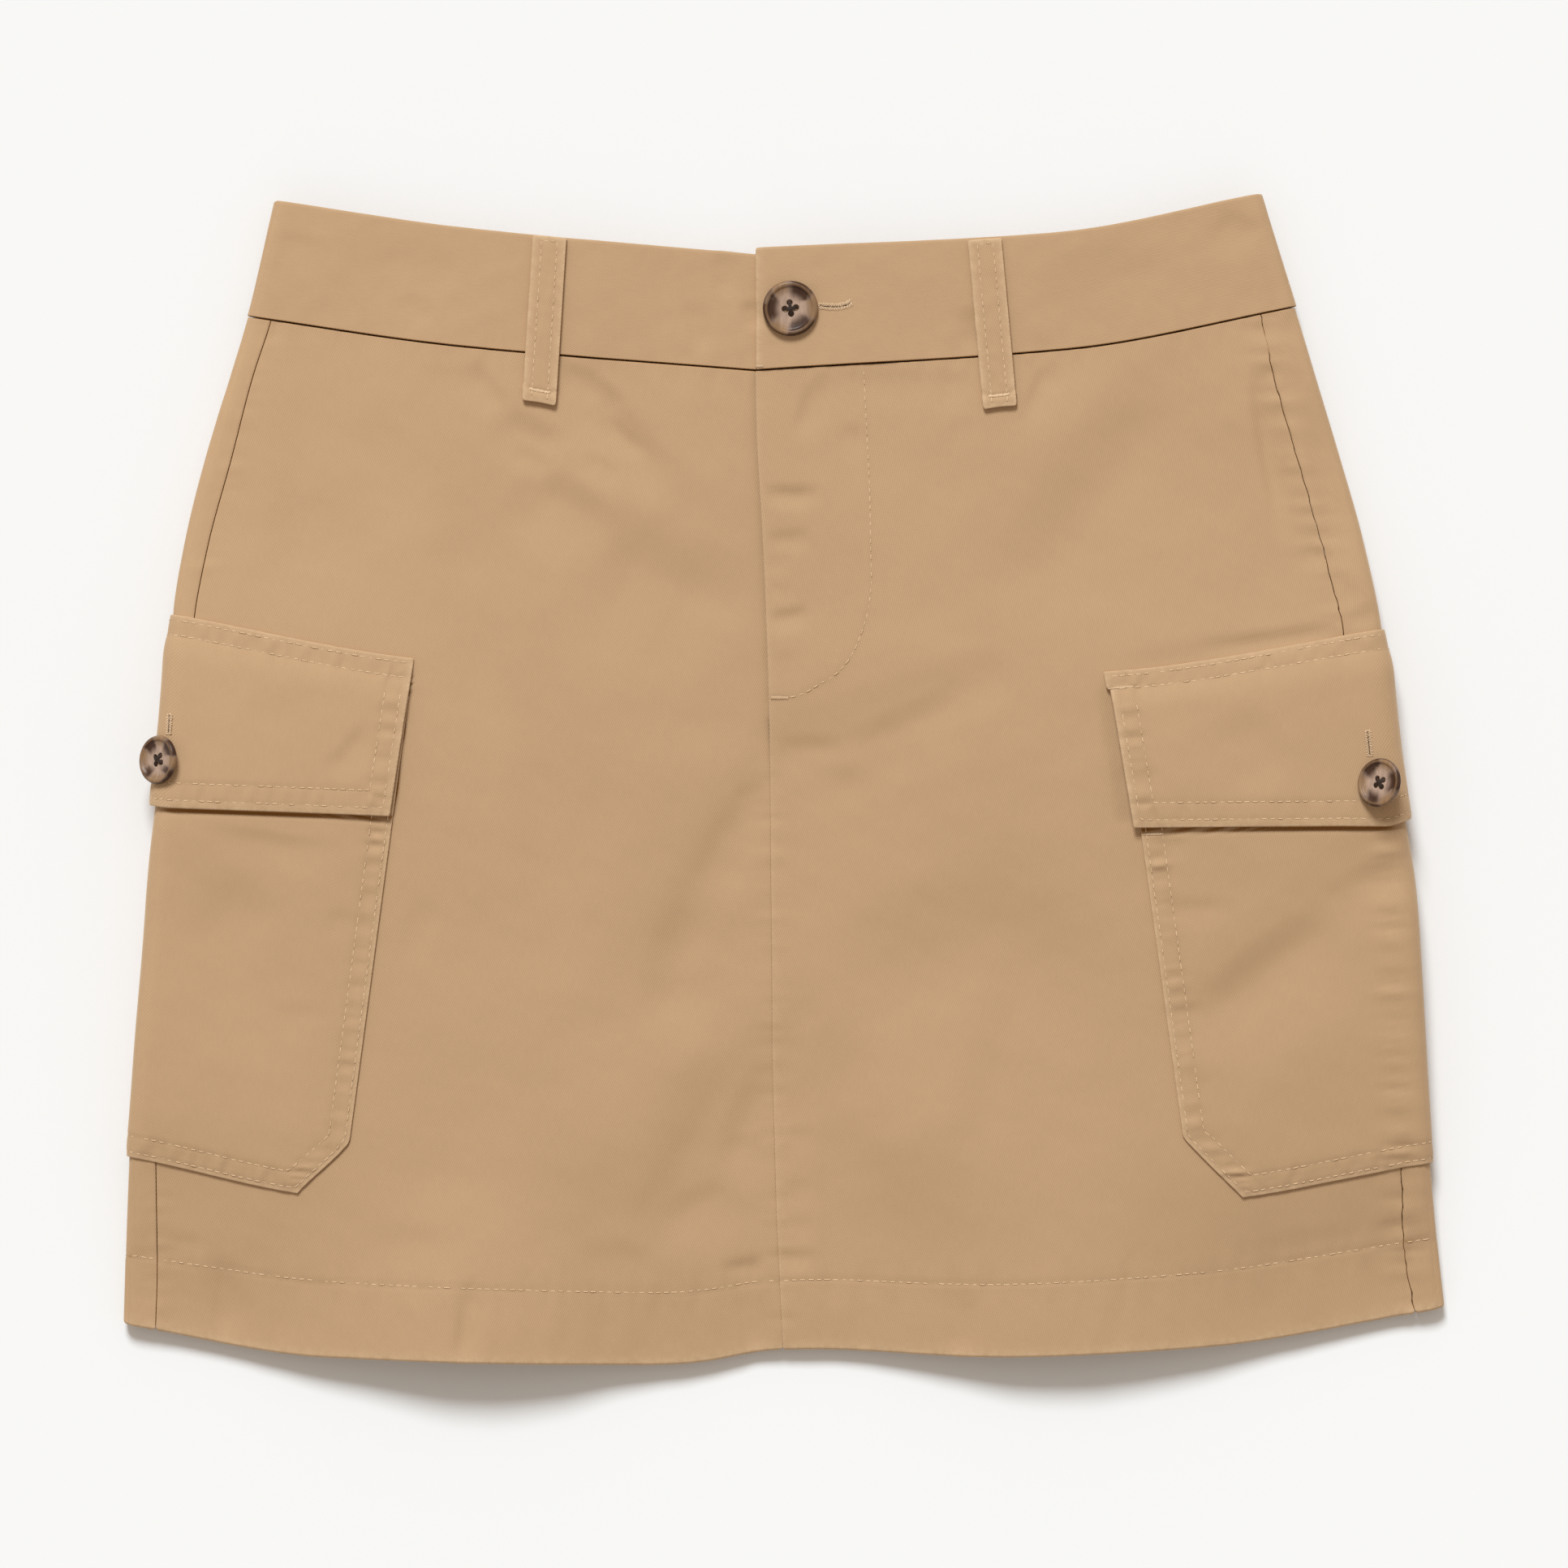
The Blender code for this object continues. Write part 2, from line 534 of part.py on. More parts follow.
def build_button(name, diameter, turn_degrees, place, out, collection, cutters):
    """A four-hole button, turned about its axis, with its back on a place and facing out."""
    radius = diameter / 2 * MM
    mesh = bpy.data.meshes.new(name)
    profile = [(across * radius, 0.0, up * radius) for across, up in BUTTON_PROFILE]
    mesh.from_pydata(profile, [(n, n + 1) for n in range(len(profile) - 1)], [])
    made = add_object(name, mesh, collection, HORN, 0.3)
    turn = made.modifiers.new("turn", "SCREW")
    turn.axis = "Z"
    turn.steps = turn.render_steps = BUTTON_STEPS
    turn.use_merge_vertices = True
    turn.merge_threshold = 1e-6
    made.location = place * MM
    made.rotation_euler = out.to_track_quat("Z", "Y").to_euler()

    holes = bpy.data.meshes.new(name + "_holes")
    points, faces = [], []
    for n in range(4):
        middle = Matrix.Rotation(math.radians(turn_degrees + 90 * n), 3, "Z") @ Vector((BUTTON_HOLE_PLACE, 0, 0))
        first = len(points)
        for height in (-0.2, 0.6):
            for k in range(BUTTON_HOLE_SIDES):
                angle = math.tau * k / BUTTON_HOLE_SIDES
                rim = Vector((math.cos(angle), math.sin(angle), 0)) * BUTTON_HOLE_RADIUS
                points.append((middle + rim + Vector((0, 0, height))) * radius)
        sides = range(BUTTON_HOLE_SIDES)
        top = first + BUTTON_HOLE_SIDES
        faces.append([first + k for k in reversed(sides)])
        faces.append([top + k for k in sides])
        for k in sides:
            after = (k + 1) % BUTTON_HOLE_SIDES
            faces.append((first + k, first + after, top + after, top + k))
    holes.from_pydata(points, [], faces)
    cutter = bpy.data.objects.new(name + "_holes", holes)
    cutter.parent = made
    cutter.hide_render = True
    cutter.display_type = "WIRE"
    cutters.objects.link(cutter)
    cut = made.modifiers.new("holes", "BOOLEAN")
    cut.operation = "DIFFERENCE"
    cut.object = cutter


def build_buttons(collection, cutters):
    x, y = WAIST_BUTTON["x"], WAIST_BUTTON["y"]
    place, out = front_place(x, y)
    place += out * ((BAND_WALL + LAY_GAP) / 2 + BAND_WALL / 2 + LAY_GAP)
    diameter, turn_degrees = WAIST_BUTTON["diameter"], WAIST_BUTTON["turn"]
    build_button("waist_button", diameter, turn_degrees, place, out, collection, cutters)
    for side, name in ((UNDER, "under"), (OVER, "over")):
        button = POCKET_BUTTONS[side]
        station = (side, "fold", button["fold_part"])
        row = row_at(tube_point(FLAP_BOTTOM, station).x, button["y"])
        out = tube_normal(row, station)
        lift = flap_lift(row, station) + FLAP_WALL / 2 + LAY_GAP
        place = tube_point(row, station) + out * lift + Vector((0, 0, button["raised"]))
        out = (out + Vector(button["lean"])).normalized()
        diameter, turn_degrees = POCKET_BUTTON_DIAMETER, POCKET_BUTTON_TURN
        build_button("pocket_button_" + name, diameter, turn_degrees, place, out, collection, cutters)


def main():
    for old in list(bpy.data.objects):
        bpy.data.objects.remove(old)
    skirt = bpy.data.collections.new("cargo_skirt")
    cutters = bpy.data.collections.new("cutters")
    bpy.context.scene.collection.children.link(skirt)
    bpy.context.scene.collection.children.link(cutters)
    skirt.objects.link(bpy.data.objects.new("skirt", None))
    build_panels(skirt)
    build_waistband(skirt)
    build_pockets(skirt)
    for name, top_x, end_x in FRONT_LOOPS:
        build_front_loop(name, top_x, end_x, skirt)
    for name, x in BACK_LOOPS:
        build_back_loop(name, x, skirt)
    build_buttons(skirt, cutters)


main()
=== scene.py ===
import math

import bpy
import numpy as np
from mathutils import Matrix, Vector
from mathutils.bvhtree import BVHTree


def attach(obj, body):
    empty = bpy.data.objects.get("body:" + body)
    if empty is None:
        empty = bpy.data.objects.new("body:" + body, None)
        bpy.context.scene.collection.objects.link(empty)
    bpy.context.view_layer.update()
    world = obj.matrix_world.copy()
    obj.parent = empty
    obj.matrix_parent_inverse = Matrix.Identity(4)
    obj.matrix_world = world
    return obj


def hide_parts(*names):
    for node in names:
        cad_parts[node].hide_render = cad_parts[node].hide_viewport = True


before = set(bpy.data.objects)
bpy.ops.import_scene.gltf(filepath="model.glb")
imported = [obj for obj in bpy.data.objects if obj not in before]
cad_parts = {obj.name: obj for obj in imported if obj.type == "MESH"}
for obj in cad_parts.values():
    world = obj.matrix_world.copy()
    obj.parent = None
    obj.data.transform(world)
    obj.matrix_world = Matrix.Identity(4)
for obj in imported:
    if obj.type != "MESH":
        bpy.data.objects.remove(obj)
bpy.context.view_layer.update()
scene = bpy.context.scene
mm = 0.001  # the tables are in millimetres, as the solids' are
under, over = -1, 1  # the side whose front runs on below the fly, and the side that laps over it

# the flattened tube that all the cloth is cut from, the same as in the solids
ringColumns = (
    "name", "underX", "underY", "underSeam", "underLine",
    "centreX", "centreY", "overLine", "overSeam", "overX", "overY",
)
rings = (
    ("band top", -189.1, 215.9, -181, 205.5, -10.8, 197.1, 204.1, 164.5, 177.3, 218.6),
    ("waist seam", -199.1, 173.2, -191, 162.4, -10.6, 153.3, 161.4, 177.5, 190, 176.8),
    ("high hip", -206, 150, -198.4, 138, -10.2, 129, 137, 182.6, 197.1, 153),
    ("hip", -215.4, 120, -206.2, 107, -8.4, 97.5, 106, 191.4, 206.5, 122),
    ("low hip", -223, 89, -214.5, 75, -6.9, 66.5, 73.5, 200.9, 216, 88),
    ("flap top", -227.2, 61.4, -219.6, 45, -5.8, 34, 40.5, 208.6, 222.4, 55.9),
    ("pocket mouth", -227.7, 46, -220.7, 31, -5.5, 21.5, 26.5, 210.3, 223.4, 41),
    ("flap middle", -229.3, 20, -222.3, 9, -5.2, 0, 5, 213.2, 225.8, 14),
    ("flap bottom", -232.5, -10.2, -225, -13.6, -5, -22, -17.4, 216.4, 230, -16.4),
    ("upper pocket", -235.3, -34, -227, -38.5, -4.8, -45, -41, 219.1, 233.9, -40),
    ("middle pocket", -237.7, -66, -229.2, -71, -4.5, -77, -73, 222.5, 236, -71),
    ("lower pocket", -240.4, -98, -231.4, -104, -4.2, -111, -105, 225.9, 237.9, -102),
    ("clipped corner", -242.4, -124, -233, -135.3, -3.4, -141, -133.5, 228.3, 239.4, -125),
    ("pocket bottom", -243.8, -141.1, -234.2, -156.5, -2.8, -163, -158, 230.2, 240.7, -143.5),
    ("hem stitch", -245.4, -178, -234, -187.6, -1.6, -193.5, -184.3, 231.4, 243.3, -171.7),
    ("hem", -246.2, -204.1, -234.8, -216, -0.3, -220.2, -212.1, 235.8, 246.2, -198),
)
heightColumns = ("side", "swell", "centre", "backSide", "backMiddle", "drawnUp")
heights = (
    (11, 11, 10.8, 2.55, 2.55, 0),
    (11, 11, 10.8, 2.55, 2.55, 0),
    (12, 12, 10.8, 1.9, 1.9, 0),
    (13, 13, 10.6, 0.6, 0.4, 0),
    (14.5, 14, 10.4, 0.3, 0, 0),
    (16.5, 14.8, 10, 2.1, 0, 0),
    (17.4, 15, 9.8, 3.5, 0, 0),
    (18, 15, 9.4, 3.5, 0, 0),
    (18, 15, 9, 3.5, 0, 0),
    (17, 15, 8.5, 1.4, 0, 0),
    (16.2, 15, 8, 1.4, 0, 0),
    (15.4, 15, 7.4, 1.4, 0, 0),
    (14.8, 15, 6.8, 1.4, 0, 0),
    (14.2, 15, 6.2, 1.4, 0, 1),
    (13.2, 15, 5.4, 0, 0, 6),
    (12.8, 15, 4.8, 0, 0, 6.6),
)
# largest troughs: from (x, y) to (x, y), half width, depth
troughs = (
    (1, 13, 74, 36, 15, 1.5),
    (-8, -3, -42, -60, 15, 1.6),
    (-5, -103, -46, -166, 16, 1.4),
    (-135, 73, -87, -60, 24, 1.3),
    (-68, 148, -40, 100, 15, 1),
    (147, 145, 62, 66, 22, 1.3),
    (225, -27, 158, -88, 19, 1.5),
)
cut = {
    "panelWall": 1.1, "hemWall": 2.2, "pocketWall": 1.1, "flapWall": 1.8, "bandWall": 2.4,
    "loopWall": 1.6, "layGap": 0.3, "seamInset": 0.15,
    "pocketLine": {under: (-137.6, 45.0, 0.1333), over: (132.7, -19.2, -0.138)},
    "clipWidth": {under: 16.9, over: 19.2},
    "foldDepth": {under: 0.85, over: 1.2},
    "drawnUpWidth": {under: 25.0, over: 55.0},
    "flapEdgeIn": {under: (0.0, 1.2), over: (-5.2, -3.2)},
    "swellPlace": 0.6, "shorterAtBack": 1.2, "backRiseEnds": 0.34,
    "flyUnderlap": 12.0, "bandUnderlap": 28.0, "lapFlat": 0.27, "lapFaded": 0.56,
    "bandEndShift": 1.15,
}
# how the cloth itself has settled: fuller folds, a hem that lies lower at the sides, and flatter troughs
settled = {"squareFold": 0.62, "sideLower": 4.2, "swellHigher": 0.9, "shallower": 0.5}
ringNumber = {ring[0]: n for n, ring in enumerate(rings)}
bandTop, waistSeam, flapTop, pocketMouth, flapBottom, clippedCorner, pocketBottom, hemStitch, hem = (
    ringNumber[name]
    for name in ("band top", "waist seam", "flap top", "pocket mouth", "flap bottom",
                 "clipped corner", "pocket bottom", "hem stitch", "hem")
)


def mix(start, end, share):
    return start + (end - start) * share


def ease(share):
    share = np.clip(share, 0.0, 1.0)
    return share * share * (3 - 2 * share)


def bell(away, reach):
    return np.exp(-((away / reach) ** 2))


def unit(vectors):
    return vectors / np.maximum(np.linalg.norm(vectors, axis=-1, keepdims=True), 1e-9)


def smoothThrough(places, values, at):
    # a smooth curve through the values, which never overshoots them
    at = np.asarray(at, float)
    spans = [places[n + 1] - places[n] for n in range(len(places) - 1)]
    slopes = [(values[n + 1] - values[n]) / spans[n] for n in range(len(spans))]
    tangents = [slopes[0]]
    for before, after in zip(slopes, slopes[1:]):
        both = before * after > 0
        tangents.append(np.where(both, 2 * before * after / np.where(both, before + after, 1.0), 0.0))
    tangents.append(slopes[-1])
    found = values[0] + tangents[0] * (at - places[0])
    for n, span in enumerate(spans):
        part = (at - places[n]) / span
        rise = values[n + 1] - values[n]
        bendIn, bendOut = tangents[n] * span - rise, rise - tangents[n + 1] * span
        curve = mix(values[n], values[n + 1], part) + part * (1 - part) * mix(bendIn, bendOut, part)
        found = np.where(part >= 0, curve, found)
    return np.where(at > places[-1], values[-1] + tangents[-1] * (at - places[-1]), found)


def ringAt(rows):
    # every named value of the rings at these rows, which may lie between two rings
    ring = {}
    for table, columns in ((rings, ringColumns[1:]), (heights, heightColumns)):
        skipped = len(table[0]) - len(columns)
        for n, column in enumerate(columns):
            values = [np.float64(line[n + skipped]) for line in table]
            ring[column] = smoothThrough(range(len(table)), values, rows)
    nearHem = ease((rows - pocketBottom + 0.6) / (hem - pocketBottom + 0.4))
    ring["side"] = ring["side"] - settled["sideLower"] * nearHem
    ring["swell"] = ring["swell"] + settled["swellHigher"] * nearHem
    for side, name in ((under, "under"), (over, "over")):
        x, y, slope = cut["pocketLine"][side]
        line = x + slope * (ring[name + "Line"] - y)
        halfHeight = (ring["side"] - ring["backSide"] - cut["panelWall"] / 2) / 2
        ring[side] = {
            "edge": ring[name + "X"], "edgeY": ring[name + "Y"], "line": line,
            "lineY": ring[name + "Line"], "seam": ring[name + "Seam"], "centre": ring["centreX"],
            "halfHeight": halfHeight,
            "fold": ring[name + "X"] - side * cut["foldDepth"][side] * halfHeight,
        }
    return ring


def ringY(ring, x):
    found = 0.0
    for side in (under, over):
        of = ring[side]
        places = [of["centre"] * side, of["line"] * side, of["edge"] * side]
        curve = smoothThrough(places, [ring["centreY"], of["lineY"], of["edgeY"]], x * side)
        curve = curve + ring["drawnUp"] * bell(x - of["centre"], cut["drawnUpWidth"][side])
        here = x > of["centre"] if side == over else x <= of["centre"]
        found = np.where(here, curve, found)
    return found


def troughDepth(x, y):
    depth = np.zeros(np.broadcast(x, y).shape)
    for x0, y0, x1, y1, halfWidth, deepest in troughs:
        dx, dy = x1 - x0, y1 - y0
        part = np.clip(((x - x0) * dx + (y - y0) * dy) / (dx * dx + dy * dy), 0, 1)
        away = np.hypot(x - x0 - dx * part, y - y0 - dy * part) / halfWidth
        depth += settled["shallower"] * deepest * np.where(away < 1, (1 - away**2) ** 2, 0.0)
    return depth


def frontHeight(ring, x, y):
    found = 0.0
    for side in (under, over):
        of = ring[side]
        swellX = mix(of["centre"], of["line"], cut["swellPlace"])
        inner = mix(ring["centre"], ring["swell"], ease((x - of["centre"]) / (swellX - of["centre"])))
        outer = mix(ring["swell"], ring["side"], ease((x - swellX) / (of["fold"] - swellX)))
        height = np.where(np.abs(x - of["centre"]) < np.abs(swellX - of["centre"]), inner, outer)
        here = x > of["centre"] if side == over else x <= of["centre"]
        found = np.where(here, height, found)
    return found - troughDepth(x, y)


stretches = {  # where each stretch of a ring starts and ends
    "front": ("centre", "seam"), "pocketFront": ("line", "seam"), "side": ("seam", "fold"),
    "back": ("fold", "centre"), "pocketBack": ("fold", "line"),
}


backRound = (("side", 0, 1, 20), ("fold", 0, 1, 50), ("back", 0, 1, 120))
pocketRound = (("pocketFront", 0, 1, 100), ("side", 0, 1, 20), ("fold", 0, 1, 50), ("pocketBack", 0, 1, 80))


def tubeStretch(rows, side, zone, parts, lap):
    # x, y, z, row and turn (0 in front, 1 behind) of the tube's middle surface, for rows x parts
    ring = ringAt(rows)
    of = ring[side]
    front = zone not in ("fold", "back", "pocketBack")
    behind = turn = 0.0 if front else 1.0
    if zone == "fold":
        turnedX, turnedZ = np.sin(math.pi * parts), np.cos(math.pi * parts)
        x = of["fold"] + side * cut["foldDepth"][side] * of["halfHeight"] * turnedX ** settled["squareFold"]
        behind, turn = (1 - np.sign(turnedZ) * np.abs(turnedZ) ** settled["squareFold"]) / 2, parts
    elif zone == "underlap":
        x = of["centre"] + parts
    elif zone == "beforeLine":
        x = of["line"] - side * parts
    else:
        start, end = stretches[zone]
        x = mix(of[start], of[end], parts)
    y = ringY(ring, x)
    y = y + behind * cut["shorterAtBack"] * (
        np.maximum(0, rows - hemStitch) - np.maximum(0, waistSeam - rows)
    )
    fromCentre = (x - of["centre"]) / (of["line"] - of["centre"])
    rise = 1 - ease((1 - fromCentre) / cut["backRiseEnds"])
    back = cut["panelWall"] / 2 + mix(ring["backMiddle"], ring["backSide"], rise)
    if front:
        y = y + side * np.clip(1 - fromCentre, 0, 1) * cut["bandEndShift"] * np.maximum(0, waistSeam - rows)
        lapped = 1 - ease((fromCentre - cut["lapFlat"]) / (cut["lapFaded"] - cut["lapFlat"]))
        z = frontHeight(ring, x, y) + side * lapped * (1 - ease(rows - pocketMouth)) * lap / 2
    else:
        z = mix(frontHeight(ring, of["fold"] + 0 * x, y), back, behind)
    return np.stack(np.broadcast_arrays(x, y, z, rows + 0 * x, turn + 0 * x), axis=-1)


def roundTube(side, *zones):
    # one side's stretches in their order round the tube: (zone, first part, last part, points)
    found = [(side, zone, np.linspace(first, last, count)) for zone, first, last, count in zones]
    return found if side == under else [(side, zone, parts[::-1]) for _, zone, parts in found[::-1]]


def tubeGrid(firstRow, lastRow, stretchesOf, lap, rowCount=240):
    rows = np.linspace(firstRow, lastRow, rowCount)[:, None]
    columns = [tubeStretch(rows, side, zone, parts[None, :], lap) for side, zone, parts in stretchesOf]
    grid = np.concatenate(columns, axis=1)
    apart = np.linalg.norm(np.diff(grid[..., :3], axis=1), axis=-1).max(axis=0)
    return grid[:, np.concatenate([[True], apart > 1e-6])]


def lengthsAlong(grid, axis):
    steps = np.linalg.norm(np.diff(grid[..., :3], axis=axis), axis=-1)
    zero = np.zeros_like(np.take(steps, [0], axis=axis))
    return np.concatenate([zero, np.cumsum(steps, axis=axis)], axis=axis)


def respaced(grid, parts, starts, ends):
    # every row of the grid again, with its points at parts of its length, less starts and ends
    lengths = lengthsAlong(grid, 1)
    found = np.empty((grid.shape[0], len(parts), grid.shape[2]))
    for i in range(grid.shape[0]):
        at = mix(starts[i], lengths[i, -1] - ends[i], parts)
        for k in range(grid.shape[2]):
            found[i, :, k] = np.interp(at, lengths[i], grid[i, :, k])
    return found


def spread(length, coarse, fine=None, near=(), reach=3.0):
    # parts of a length: coarse steps in mm, and fine ones near the given places
    at = np.linspace(0, length, 4000)
    step = np.full(at.shape, coarse)
    for place in near:
        step = np.minimum(step, mix(fine, coarse, ease((np.abs(at - place) - reach) / (2 * reach))))
    count = np.concatenate([[0], np.cumsum((at[1] - at[0]) / ((step[1:] + step[:-1]) / 2))])
    return np.interp(np.linspace(0, count[-1], int(math.ceil(count[-1])) + 1), count, at) / length


def gridNormals(points):
    across, down = np.gradient(points, axis=1), np.gradient(points, axis=0)
    return unit(np.cross(across, down))


def squareness(edge, beside):
    # how square the grid meets an edge, as the sine of the angle
    return np.linalg.norm(np.cross(unit(np.gradient(edge, axis=0)), unit(beside - edge)), axis=-1)


def nearEnds(length, first, last=()):
    # where a length is finely divided: at both ends, and these far in from its start and its end
    return [0.4, *first] + [length - place for place in (0.4, *(last or first))]


def madeSheet(grid, wall, across, down, insets=(0, 0, 0, 0), radii=(0.2, 0.2, 0.2, 0.2),
              lift=0.0, thickness=None, cutUp=None):
    # a cloth piece from a grid, respaced to parts across and down, and ready for its relief.
    # insets and radii go left, right, top, bottom: how far an edge is moved in, and its rounding.
    # cutUp: how much shorter it is at each place across
    rows = grid[:, 0, 3]
    grid = np.concatenate([grid, lengthsAlong(grid, 1)[..., None], lengthsAlong(grid, 0)[..., None]], axis=-1)
    ends = [
        radius + cut["seamInset"] + (edge(rows) if callable(edge) else edge + 0 * rows)
        for edge, radius in zip(insets, radii)
    ]
    grid = respaced(grid, across, ends[0], ends[1])
    ones = np.ones(grid.shape[1])
    shorter = cutUp(grid[-1, :, 0]) if cutUp else 0.0
    grid = respaced(grid.swapaxes(0, 1), down, ends[2][0] * ones, ends[3][0] * ones + shorter).swapaxes(0, 1)
    points = grid[..., :3]
    sheet = {"tube": points, "rows": grid[..., 3], "turn": grid[..., 4], "wall": wall, "radii": radii}
    sheet["uv"] = np.stack([grid[..., 5], -grid[..., 6]], axis=-1)
    sheet["normals"] = gridNormals(points)
    lengths, drops = lengthsAlong(grid, 1), lengthsAlong(grid, 0)
    sheet["fromLeft"] = lengths * squareness(points[:, 0], points[:, 1])[:, None]
    sheet["fromRight"] = (lengths[:, -1:] - lengths) * squareness(points[:, -1], points[:, -2])[:, None]
    sheet["fromTop"] = drops * squareness(points[0], points[1])[None, :]
    sheet["fromBottom"] = (drops[-1:] - drops) * squareness(points[-1], points[-2])[None, :]
    sheet["facingUp"] = np.clip(sheet["normals"][..., 2] * 1.6, 0, 1)
    sheet["lift"] = lift(sheet) if callable(lift) else lift
    sheet["thickness"] = thickness(sheet) if thickness else np.full(points.shape[:2], wall)
    sheet["relief"] = np.zeros(points.shape[:2])
    # darker where pressed along stitching, and painted shade in seams, gaps and beside the flaps
    sheet["pressed"] = np.zeros(points.shape[:2])
    # how rubbed the left, right, top and bottom edges are, paler and partly a painted highlight, how much
    # painted shade lies on their rims, and how far down a rim the painted shade starts
    sheet["rubbed"], sheet["inSeam"], sheet["litRims"] = (1.0, 1.0, 1.0, 1.0), (0.0, 0.0, 0.0, 0.0), 0
    return sheet


def placesOf(sheet):
    return sheet["tube"][..., 0], sheet["tube"][..., 1]


def sizeOf(grid, row):
    # a grid's width at one of its rows, and its mean length
    return lengthsAlong(grid, 1)[row, -1], lengthsAlong(grid, 0)[-1].mean()


def awayFromRow(sheet, row):
    # distance down each column from where it crosses a row of the tube
    drops = sheet["fromTop"]
    found = np.empty(drops.shape)
    for n in range(drops.shape[1]):
        found[:, n] = drops[:, n] - np.interp(row, sheet["rows"][:, n], drops[:, n])
    return found


# folds, ripples and puckers in the cloth
def waves(at, seed, shortest, longest, count=9):
    # an even mixture of waves along a line, from -1 to 1
    chance = np.random.default_rng(seed)
    found = 0.0
    for length, phase in zip(np.geomspace(shortest, longest, count), chance.uniform(0, math.tau, count)):
        found = found + np.sin(math.tau * at / (length * chance.uniform(0.85, 1.15)) + phase)
    return found / math.sqrt(count * 1.6)


def ripples(x, y, seed, shortest, longest, count=26):
    # soft unevenness all over, from about -1 to 1, its longer waves higher
    chance = np.random.default_rng(seed)
    found, total = 0.0, 0.0
    for length in np.geomspace(shortest, longest, count):
        turn, phase = chance.uniform(0, math.pi), chance.uniform(0, math.tau)
        height = (length / longest) ** 0.8
        found = found + height * np.sin(math.tau * (x * math.cos(turn) + y * math.sin(turn)) / length + phase)
        total += height**2
    return found / math.sqrt(total)


